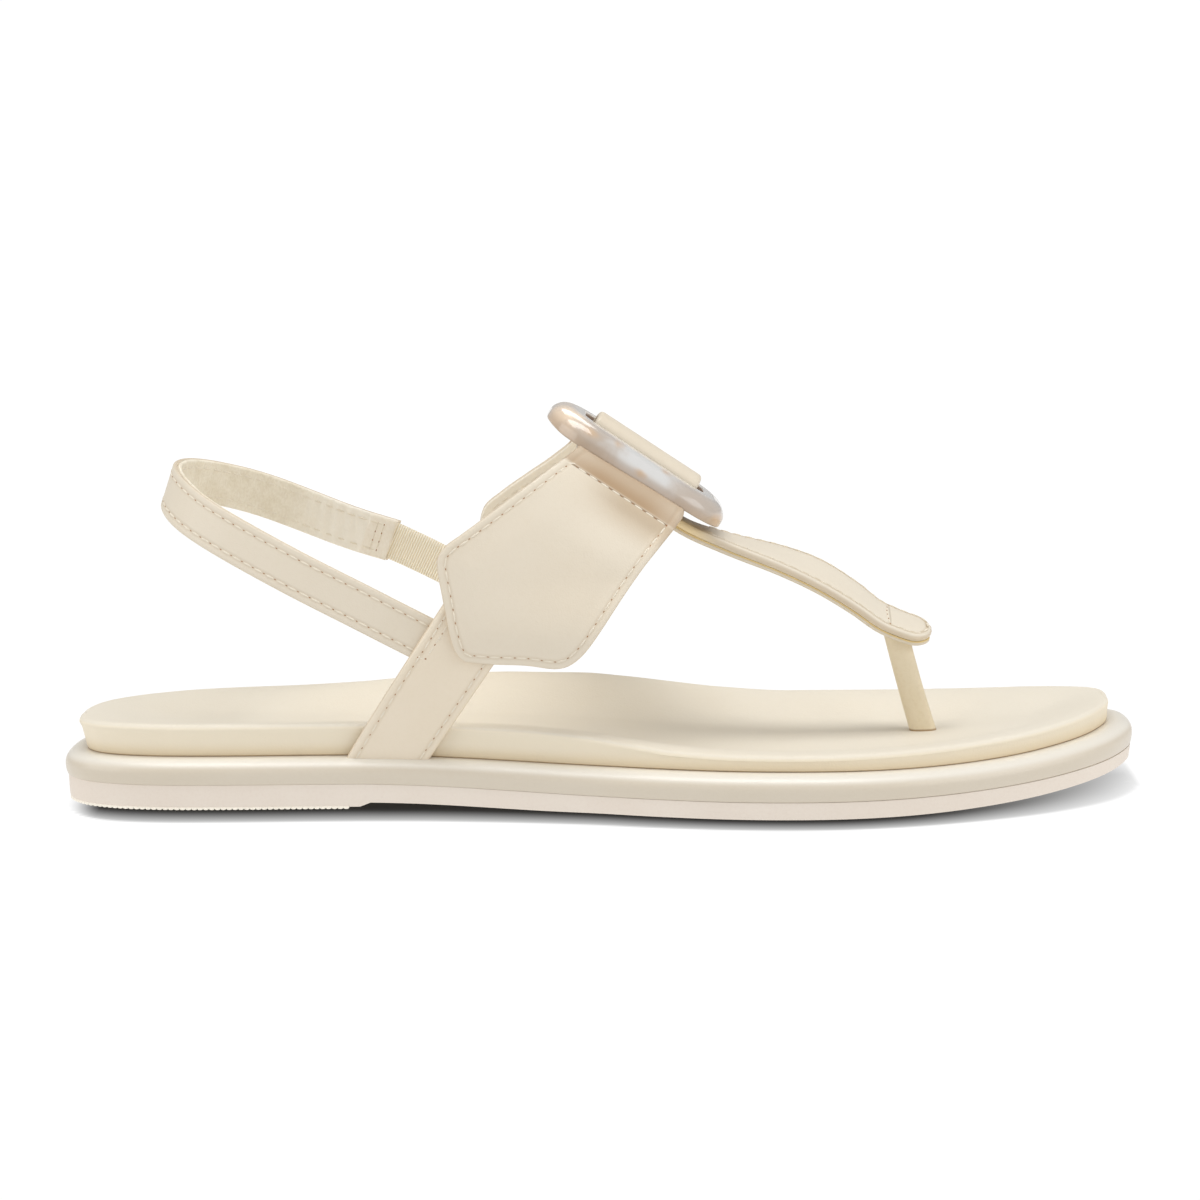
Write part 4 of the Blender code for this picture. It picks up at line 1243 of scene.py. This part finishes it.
def lining_form(x, s):
    return lining_shape(x, s, 0)


add_strap("heel_sling", STRAP_FINISH, (0.0, SLING_LENGTH), sling_edges, sling_put, SLING_WALL, SLING_REST,
          across=10, along=150)
add_strap("sling_lining", LINING_FINISH, (0.0, SLING_INNER), sling_edges, sling_put, NAP_WALL, NAP_REST,
          lining_shape, across=10, along=300)
add_strap("sling_hem", HEM_FINISH, (SLING_INNER - HEM, SLING_INNER + 0.1), sling_edges, sling_put, HEM_WALL,
          NAP_REST, across=10, along=12)
nap_face = NAP_REST - 0.5 * NAP_WALL - LINING_PROUD
hem_face = NAP_REST - 0.5 * HEM_WALL
for edge in (-1, 1):
    row = edge * (0.5 * SLING_WIDTH - SEAM_INSET)
    start, end = SLING_ROW[0], SLING_LENGTH - SLING_ROW[1]
    sew([(row, s) for s in np.linspace(start, end, 200)], sling_put, SLING_REST + 0.5 * SLING_WALL)
    sew([(row, s) for s in np.linspace(start, SLING_INNER - HEM, 200)], sling_put, nap_face,
        form=lining_form, pierced=False)
    sew([(row, SLING_INNER - HEM), (row, SLING_INNER - SLING_ROW[1])], sling_put, hem_face - HEM_PROUD,
        pierced=False)
for back in END_ROWS:
    place = SLING_INNER - back
    sew([(-END_HALF, place), (END_HALF, place)], sling_put, hem_face - END_PROUD, pitch=END_PITCH)

# %% [markdown]
# ## Elastic gore
# The gore is a short ribbed elastic. Its ribs run across it, a little over half a millimetre apart.
# They are made as a wave in the sheet itself, so that they also show from the side, and the grooves
# between them are painted darker as painted shade.

# %% Elastic gore
RIB, RIB_DEEP, RIB_POINTS = 0.62, 0.14, 6
GORE_COLUMNS = 12
GORE_LENGTH, gore_put = ribbon_maps(GORE)
GORE_WALL = 1.0
WEAVE_DEPTH = 0.00002


def elastic():
    finish, tree, shader = new_finish("ribbed_elastic", roughness=0.85, sheen_weight=0.2)
    weave = noise(tree, 1600.0)
    # painted shade: darker in the grooves between the ribs, paler on their ridges
    ridge = fade(tree, attribute(tree, "edge"), 0.0, 1.0)
    colour = blend_colours(tree, ridge, srgb(234, 220, 190), srgb(255, 250, 236))
    colour = tint(tree, colour, weave, 0.2, srgb(236, 224, 196))
    tree.links.new(colour, shader.inputs["Base Color"])
    relief(tree, shader, weave, WEAVE_DEPTH)
    return finish


def make_gore():
    rows = int(GORE_LENGTH / RIB) * RIB_POINTS
    s = np.linspace(0, GORE_LENGTH, rows + 1)
    wave = 0.5 + 0.5 * np.cos(2 * math.pi * s / RIB)
    bm = new_sheets("edge")
    for face in (1, -1):
        def place(column, row):
            x = (column / GORE_COLUMNS - 0.5) * GORE_WIDTH
            rim = (column % GORE_COLUMNS == 0) | (row % rows == 0)
            lift = np.where(rim, 0.0, face * (0.5 * GORE_WALL - RIB_DEEP * (1 - wave[row])))
            return gore_put(x, s[row], lift)
        points, _, row = lay_sheet(bm, GORE_COLUMNS, rows, place)
        write_notes(bm, points, edge=wave[row])
    finish_piece("elastic_ribs", bm, "elastic_gore", "elastic", elastic())


make_gore()

# %% [markdown]
# ## Toe post
# The post is a core wrapped in leather. It rises from a slit in the footbed to the tip of the
# T-strap. Its section is a rounded rectangle, and it leans back a little.

# %% Toe post
POST_FOOT, POST_HEAD = np.array((79.8, 8.0)), np.array((72.3, 7.4))
POST_LONG, POST_WIDE, POST_FLARE, POST_WAIST = 3.35, 2.6, 0.25, 0.04
POST_INTO_FOOTBED, POST_INTO_STRAP = 0.6, 0.5
POST_ACROSS = 0.55         # where it stands between the lateral and the medial rim
POST_SHADE = (0.055, 0.035)   # shares of its height between which the painted shade at its foot comes in
SQUARE_POWER = 0.72


def t_underside(x, y):
    stations = np.linspace(5, len(T_STRAP) - 1, 121)
    u = np.interp(x, round_curve(T_STRAP, stations)[:, 0], stations)
    _, middle, z, _, tilt = round_curve(T_STRAP, u).T
    ahead = heading(T_STRAP, u, 0.05)
    slope = np.arctan2(ahead[:, 2], ahead[:, 0])
    return z + (y - middle) * np.tan(np.radians(tilt)) - 0.5 * T_WALL / np.cos(slope)


def squarish(share):
    return np.copysign(np.abs(share) ** SQUARE_POWER, share)


def post_foot_shade(tree, colour):
    """A dark line of painted shade where the post goes into the footbed."""
    return tint(tree, colour, fade(tree, attribute(tree, "rise"), *POST_SHADE), 0.8, srgb(146, 114, 72))


POST_FINISH = leather("wrapped_post_leather", srgb(230, 217, 190), srgb(216, 199, 164), grain=2000.0,
                      mottle=0.5, roughness=0.5)
paint_over(POST_FINISH, post_foot_shade)


def make_toe_post():
    around, levels = 40, 24

    def place(column, row):
        turn = 2 * math.pi * (column % around) / around
        share = row / levels
        middle = POST_FOOT + (POST_HEAD - POST_FOOT) * share[:, None]
        waist = 1 - POST_WAIST * np.sin(math.pi * share)
        x = middle[:, 0] + (POST_LONG + POST_FLARE * share) * waist * squarish(np.cos(turn))
        y = middle[:, 1] + POST_WIDE * waist * squarish(np.sin(turn))
        low = footbed_top(np.column_stack([x, y]), POST_ACROSS) - POST_INTO_FOOTBED
        high = t_underside(x, y) + POST_INTO_STRAP
        return np.column_stack([x, y, low + (high - low) * share])

    bm = new_sheets("rise")
    points, _, row = lay_sheet(bm, around, levels, place)
    write_notes(bm, points, rise=row / levels)
    finish_piece("toe_post_wrap", close_ends(bm), "toe_post", "post_leather", POST_FINISH)


make_toe_post()

# %% [markdown]
# ## Buckle
# The buckle is a domed ring of polished resin, clouded like horn, with a bar along its slot. Its
# outline and its slot are rounded rectangles, and its section is a dome with a crisp inner edge. One
# sheet, closed both ways, makes it. The finish is a glossy coat over slow clouds of grey and tan, with
# painted shade low on the ring and in its slot, and a painted highlight on its flat top.

# %% Resin finish
# Where each tone, painted shade and painted highlight comes in: places along the ring in mm, or
# shares of its section and its thickness
CLOUD_DRIFT, CLOUD_MIDDLE = 16.0, 8.0
WHITE_START, WHITE_END, TAN_END = (-12.0, -4.0), (14.0, 5.0), (-14.0, -23.0)
LOW_SHADE, TOP_LIGHT = (0.62, 0.12), (0.4, 0.75)
STAIN_EDGE = (0.2, 1.1)
SLOT_INNER, SLOT_RISE = (0.985, 0.999), (0.98, 0.9)


def resin():
    finish, tree, shader = new_finish("clouded_resin", roughness=0.3, coat_weight=1.0, coat_roughness=0.006)
    along, rise, inner, stain = (attribute(tree, name) for name in ("along", "rise", "inner", "stain"))
    cloud = noise(tree, 130.0, 3.0, distortion=0.7)
    drift = maths(tree, "MULTIPLY_ADD", cloud, CLOUD_DRIFT, maths(tree, "SUBTRACT", along, CLOUD_MIDDLE))
    white = times(tree, fade(tree, drift, *WHITE_START), fade(tree, drift, *WHITE_END))
    colour = blend_colours(tree, white, srgb(173, 161, 149), srgb(197, 196, 194))
    colour = tint(tree, colour, fade(tree, drift, *TAN_END), 0.75, srgb(234, 209, 180))
    # painted shade low on the ring, then a painted highlight on its flat top
    colour = tint(tree, colour, fade(tree, rise, *LOW_SHADE), 0.6, srgb(176, 150, 122))
    colour = tint(tree, colour, fade(tree, inner, *TOP_LIGHT), 0.8, srgb(220, 215, 208))
    spots = maths(tree, "ADD", stain, maths(tree, "MULTIPLY_ADD", cloud, 0.8, -0.4))
    colour = tint(tree, colour, fade(tree, spots, *STAIN_EDGE), 0.65, srgb(190, 154, 110))
    # painted shade inside the slot
    slot = times(tree, fade(tree, inner, *SLOT_INNER), fade(tree, rise, *SLOT_RISE))
    colour = tint(tree, colour, slot, 0.85, srgb(132, 104, 84))
    tree.links.new(colour, shader.inputs["Base Color"])
    return finish


RESIN_FINISH = resin()
print("nodes in the resin:", len(RESIN_FINISH.node_tree.nodes))

# %% Ring and bar
RING_LONG, RING_WIDE, RING_CORNER = 25.0, 16.5, 13.5
RING_THICK, RING_BASE = 5.3, -1.5
RING_LOWER = 1.0           # how much deeper the ring sits at its upper end
LOWER_START, LOWER_END = (12.0, -24.0), (-29.0, -19.0)
HOLE_LONG, HOLE_WIDE, HOLE_CORNER = 17.2, 6.2, 2.4
BAR_WIDE, BAR_THICK, BAR_RISE, BAR_TENON = 3.5, 1.2, 1.0, 1.5
# Columns: share from the outer edge to the slot, share of the thickness
RING_DOME = np.array((
    (0.96, 1.0), (0.80, 1.0), (0.62, 1.0), (0.42, 0.95), (0.24, 0.84), (0.10, 0.66), (0.01, 0.42),
    (0.0, 0.18), (0.005, 0.05), (0.03, 0.0)))
RING_SLOT = np.array(((0.5, 0.0), (0.95, 0.0), (1.0, 0.04), (1.0, 0.5), (1.0, 0.94), (0.99, 0.985)))
# Stains on the near side: place along the ring, place across its section, size of each
STAINS = ((-7.0, 0.3, 1.7, 0.34), (1.0, -0.3, 2.2, 0.14), (6.3, 0.42, 1.7, 0.26), (-14.5, 0.0, 3.0, 0.25),
          (23.5, -0.3, 2.4, 0.25))


def rounded_rectangle(long, wide, corner, steps=20, between=14):
    """A rounded rectangle, along and across the foot: four arcs with even points between them."""
    sides = []
    for k, (sx, sy) in enumerate(((1, 1), (-1, 1), (-1, -1), (1, -1))):
        turn = np.radians(np.linspace(90 * k, 90 * k + 90, steps))
        sides.append(np.column_stack([sx * (long - corner) + corner * np.cos(turn),
                                      sy * (wide - corner) + corner * np.sin(turn)]))
    share = np.linspace(0, 1, between + 2)[1:-1, None]
    return np.vstack([np.vstack([arc, arc[-1] + (sides[(k + 1) % 4][0] - arc[-1]) * share])
                      for k, arc in enumerate(sides)])


def stained(along, across, section):
    """Strength of the listed stains at places on the ring."""
    place = section[:, 0] - 0.5 * (1 - section[:, 1])
    total = np.zeros(len(along))
    for at, spot, size, height in STAINS:
        total += np.exp(-np.square((along - at) / size) - np.square((place - spot) / height))
    return np.where(across < 0, total, total[::-1])


def make_ring():
    outer = rounded_rectangle(RING_LONG, RING_WIDE, RING_CORNER)
    slot = rounded_rectangle(HOLE_LONG, HOLE_WIDE, HOLE_CORNER)
    dome = round_curve(RING_DOME, np.linspace(0, len(RING_DOME) - 1, 36))
    section = np.vstack([dome, RING_SLOT])

    def spots(column, row):
        """Places on the plan, and on the section, at points of the sheet."""
        turn, part = column % len(outer), section[row % len(section)]
        return outer[turn] + (slot[turn] - outer[turn]) * part[:, :1], part

    def place(column, row):
        plan, part = spots(column, row)
        along = outer[column % len(outer), 0]
        thick = RING_THICK + RING_LOWER * eased(along, *LOWER_START) * eased(along, *LOWER_END)
        return slope_point(plan[:, 0], plan[:, 1], RING_BASE + RING_THICK - thick * (1 - part[:, 1]))

    bm = new_sheets("along", "rise", "inner", "stain")
    points, column, row = lay_sheet(bm, len(outer), len(section), place)
    plan, part = spots(column, row)
    write_notes(bm, points, along=plan[:, 0], rise=part[:, 1], inner=part[:, 0], stain=stained(*plan.T, part))
    return finish_piece("resin_ring", bm, "buckle", "resin", RESIN_FINISH)


def make_bar():
    around, rows, reach = 24, 6, HOLE_LONG + BAR_TENON

    def place(column, row):
        turn = 2 * math.pi * (column % around) / around
        rise = BAR_RISE + BAR_THICK * np.sin(turn)
        return slope_point(reach * (row / rows * 2 - 1), BAR_WIDE * np.cos(turn), rise)

    bm = bmesh.new()
    lay_sheet(bm, around, rows, place)
    finish_piece("resin_bar", close_ends(bm), "buckle", "resin", RESIN_FINISH)


ring = make_ring()
make_bar()

# %% [markdown]
# ## Thread
# A lockstitch shows as short plump threads in a row, with a needle hole between one and the next. In
# the rows along soft linings and along the T-strap the holes have closed up. A thread is a small
# sphere drawn out along the seam and sunk a little into its dent, and a hole is a dark dot of painted
# shade under the ends of two threads. All threads are one mesh, and so are all holes.

# %% Stitches and needle holes
THREAD_HALF, THREAD_FLAT = 0.24, 0.85  # half thickness of the thread, and its height as a share of it
THREAD_SHARE = 0.37        # half length of a stitch, as a share of the pitch
THREAD_SUNK = 0.06         # depth of its middle below the leather
ABOVE_SEAM = 0.2           # a place above the leather, which tells which way is up
HOLE_HALF = (0.37, 0.16, 0.14)
THREAD_DEPTH = 0.00008


def thread_finish():
    finish, tree, shader = new_finish("sewing_thread", roughness=0.6, sheen_weight=0.2)
    twist = noise(tree, 3000.0)
    tree.links.new(blend_colours(tree, twist, srgb(238, 230, 213), srgb(226, 214, 193)),
                   shader.inputs["Base Color"])
    relief(tree, shader, twist, THREAD_DEPTH)
    return finish


# a needle hole is a dark brown dot that stands for the shade inside it: painted shade
def hole_shade_finish():
    finish, tree, shader = new_finish("needle_hole", roughness=0.9)
    tree.links.new(blend_colours(tree, noise(tree, 1500.0), srgb(146, 98, 58), srgb(166, 122, 80)),
                   shader.inputs["Base Color"])
    return finish


def frame_of(middle, along, up, sizes):
    """Matrix that carries a unit shape to a place, with its axes along, across and up."""
    along = unit(along)
    up = unit(up - along * np.dot(up, along))
    axes = np.column_stack([np.cross(up, along) * sizes[1], up * sizes[2], along * sizes[0]])
    whole = np.eye(4)
    whole[:3, :3] = axes * MM
    whole[:3, 3] = (middle - MIDDLE) * MM
    return Matrix(whole.tolist())


def sew_all():
    thread, holes = bmesh.new(), bmesh.new()
    stitches = 0
    for run, put, lift, pitch, form, pierced in SEAMS:
        marks = marks_along(run)
        count = max(1, int(round(marks[-1] / pitch)))
        here = np.linspace(0, marks[-1], 2 * count + 1)
        x, s = (np.interp(here, marks, run[:, k]) for k in (0, 1))
        side = math.copysign(1, lift)
        rise = lift + form(x, s)
        low = put(x, s, rise - THREAD_SUNK * side)
        up = put(x, s, rise + ABOVE_SEAM * side) - low
        sizes = (THREAD_SHARE * marks[-1] / count, THREAD_HALF, THREAD_FLAT * THREAD_HALF)
        for k in range(1, 2 * count, 2):
            bmesh.ops.create_uvsphere(thread, u_segments=7, v_segments=6, radius=1.0,
                                      matrix=frame_of(low[k], low[k + 1] - low[k - 1], up[k], sizes))
        for k in range(0, 2 * count + 1, 2) if pierced else ():
            ahead = low[min(k + 1, 2 * count)] - low[max(k - 1, 0)]
            bmesh.ops.create_icosphere(holes, subdivisions=1, radius=1.0,
                                       matrix=frame_of(low[k], ahead, up[k], HOLE_HALF))
        stitches += count
    finish_piece("stitches", thread, "upper", "strap_leather", thread_finish())
    finish_piece("needle_holes", holes, "upper", "strap_leather", hole_shade_finish())
    print(stitches, "stitches in", len(SEAMS), "rows")


sew_all()

# %% [markdown]
# ## Studio
# The sandal stands on a white light table in a white room: one softbox overhead and two larger ones
# to the left and right. What the camera sees of the table's glow dies away just in front of the sole,
# which leaves the contact shadow, and comes back under the lifted toe. The sandal itself gets the
# whole glow. A fourth light shows only as a glint on the ring. The shadow is worked out point by
# point from the distance to the sole's outline.

# %% Floor and light
FLOOR_NEAR = np.array((0.22, 0.11))    # half size of the fine middle of the floor, in metres
FLOOR_FAR, FAR_POWER = 40.0, 31        # its far edge, and how late its points spread out to it
FLOOR_COLUMNS, FLOOR_ROWS = 300, 150
FLOOR_LIGHT = 0.95                     # what the sandal gets from the table, shadow or not
SKY_LIGHT = 0.5
# The contact shadow, in millimetres
SHADOW_STRETCH = np.array((8.0, 1.0))  # it falls to the front, hardly to the ends
SHADOW_HEEL, SHADOW_TOE = 15.0, 11.8   # how far it reaches at the heel and at the toe
SHADOW_TAPER = (-40.0, 40.0)
HEEL_ROUND = 4.5                       # it draws in towards the end of the heel
HEEL_FADE = (HEEL_X + 0.6, HEEL_X + 10.6)
TOE_REACH, TOE_GLOW = 4.0, 0.11        # reach and glow that it gains for each millimetre of toe spring
SHADOW_POWER, SHADOW_EDGE = 1.4, 0.32  # its slow ramp, and the share of its sharper outer edge


def floor_glow(plan):
    """Share of the full glow at places on the floor, given in millimetres."""
    x, y = plan.T
    over_x = (x > HEEL_X) & (x < TOE_X)
    over_y = (y > np.interp(x, PLAN[:, 0], PLAN[:, 1])) & (y < np.interp(x, PLAN[:, 0], PLAN[:, 2]))
    away = distance_to_line(plan * SHADOW_STRETCH, OUTLINE * SHADOW_STRETCH)
    away = np.where(over_x & over_y, -away, away)
    lifted = toe_spring(np.clip(x, HEEL_X, TOE_X))
    reach = SHADOW_HEEL + (SHADOW_TOE - SHADOW_HEEL) * eased(x, *SHADOW_TAPER)
    reach = reach * (1.02 - np.exp((HEEL_X - np.maximum(x, HEEL_X)) / HEEL_ROUND))
    share = np.clip((away + TOE_REACH * lifted) / (reach + TOE_REACH * lifted), 0, 1)
    ramp = (1 - SHADOW_EDGE) * share ** SHADOW_POWER + SHADOW_EDGE * eased(share, 0.85, 1.0)
    return 1 - eased(x, *HEEL_FADE) * (1 - TOE_GLOW * lifted) * (1 - ramp)


def make_floor():
    finish, tree, shader = new_finish("white_light_table", roughness=0.9, specular_ior_level=0.1,
                                      base_color=(0.02, 0.02, 0.02, 1.0), emission_color=(1.0, 1.0, 1.0, 1.0))
    seen = add_node(tree, "ShaderNodeLightPath").outputs["Is Camera Ray"]
    unseen = times(tree, maths(tree, "SUBTRACT", 1.0, seen), FLOOR_LIGHT)
    tree.links.new(maths(tree, "MULTIPLY_ADD", attribute(tree, "glow"), seen, unseen),
                   shader.inputs["Emission Strength"])
    bm = new_sheets("glow")
    points = bmesh.ops.create_grid(bm, x_segments=FLOOR_COLUMNS, y_segments=FLOOR_ROWS, size=1.0)["verts"]
    flat = np.array([point.co[:2] for point in points])
    plan = flat * FLOOR_NEAR + FLOOR_FAR * flat ** FAR_POWER
    for point, (x, y) in zip(points, plan):
        point.co = (x, y, 0.0)
    write_notes(bm, points, glow=floor_glow(plan / MM + MIDDLE[:2]))
    mesh = bpy.data.meshes.new("studio_floor")
    bm.to_mesh(mesh)
    bm.free()
    mesh.materials.append(finish)
    floor = bpy.data.objects.new("studio_floor", mesh)
    bpy.context.scene.collection.objects.link(floor)


def softbox(name, place, aim, size, watts, only=None):
    light = bpy.data.lights.new(name, "AREA")
    light.shape = "RECTANGLE"
    light.size, light.size_y = size
    light.energy = watts
    lamp = bpy.data.objects.new(name, light)
    lamp.location = place
    lamp.rotation_euler = (Vector(aim) - Vector(place)).to_track_quat("-Z", "Y").to_euler()
    lamp.visible_camera = False
    if only:
        lamp.visible_diffuse = False
        lit = bpy.data.collections.new(name)
        lit.objects.link(only)
        lamp.light_linking.receiver_collection = lit
    bpy.context.scene.collection.objects.link(lamp)


def make_sky():
    world = bpy.data.worlds.new("white_room")
    world.use_nodes = True
    tree = world.node_tree
    seen = add_node(tree, "ShaderNodeLightPath").outputs["Is Camera Ray"]
    sky = tree.nodes["Background"]
    sky.inputs["Color"].default_value = (1.0, 1.0, 1.0, 1.0)
    tree.links.new(maths(tree, "MAXIMUM", seen, SKY_LIGHT), sky.inputs["Strength"])
    bpy.context.scene.world = world


make_floor()
make_sky()
softbox("top_softbox", (0.0, -0.1, 1.2), (0.0, 0.0, 0.04), (0.9, 0.5), 7.1)
softbox("ring_glint", (0.12, 0.8, 1.15), (0.0, 0.0, 0.08), (0.9, 0.6), 6.0, only=ring)
softbox("right_softbox", (1.3, -0.6, 0.6), (0.0, 0.0, 0.05), (1.3, 1.0), 6.8)
softbox("left_softbox", (-1.3, -0.6, 0.6), (0.0, 0.0, 0.05), (1.3, 1.0), 6.2)
print("softboxes:", len(bpy.data.lights))

# %% [markdown]
# ## Camera
# The photograph looks square at the lateral side from a little above, with a long lens. Distance and
# focal length were found by laying the solids over the photograph.

# %% Camera
VIEW_DOWN = math.radians(8.3)
VIEW_AWAY = 1.1
VIEW_TARGET = Vector((-0.00105, 0.0, 0.0465))
FOCAL_PIXELS, PHOTO_PIXELS = 4466.0, 1200.0

lens = bpy.data.cameras.new("photo_camera")
lens.sensor_width = 36.0
lens.lens = FOCAL_PIXELS / PHOTO_PIXELS * lens.sensor_width
lens.clip_end = 200.0
camera = bpy.data.objects.new("photo_camera", lens)
camera.location = VIEW_TARGET - VIEW_AWAY * Vector((0.0, math.cos(VIEW_DOWN), -math.sin(VIEW_DOWN)))
camera.rotation_euler = (math.pi / 2 - VIEW_DOWN, 0.0, 0.0)
bpy.context.scene.collection.objects.link(camera)
bpy.context.scene.camera = camera
bpy.context.scene.view_settings.view_transform = "Standard"
print("lens", round(lens.lens, 1), "mm")
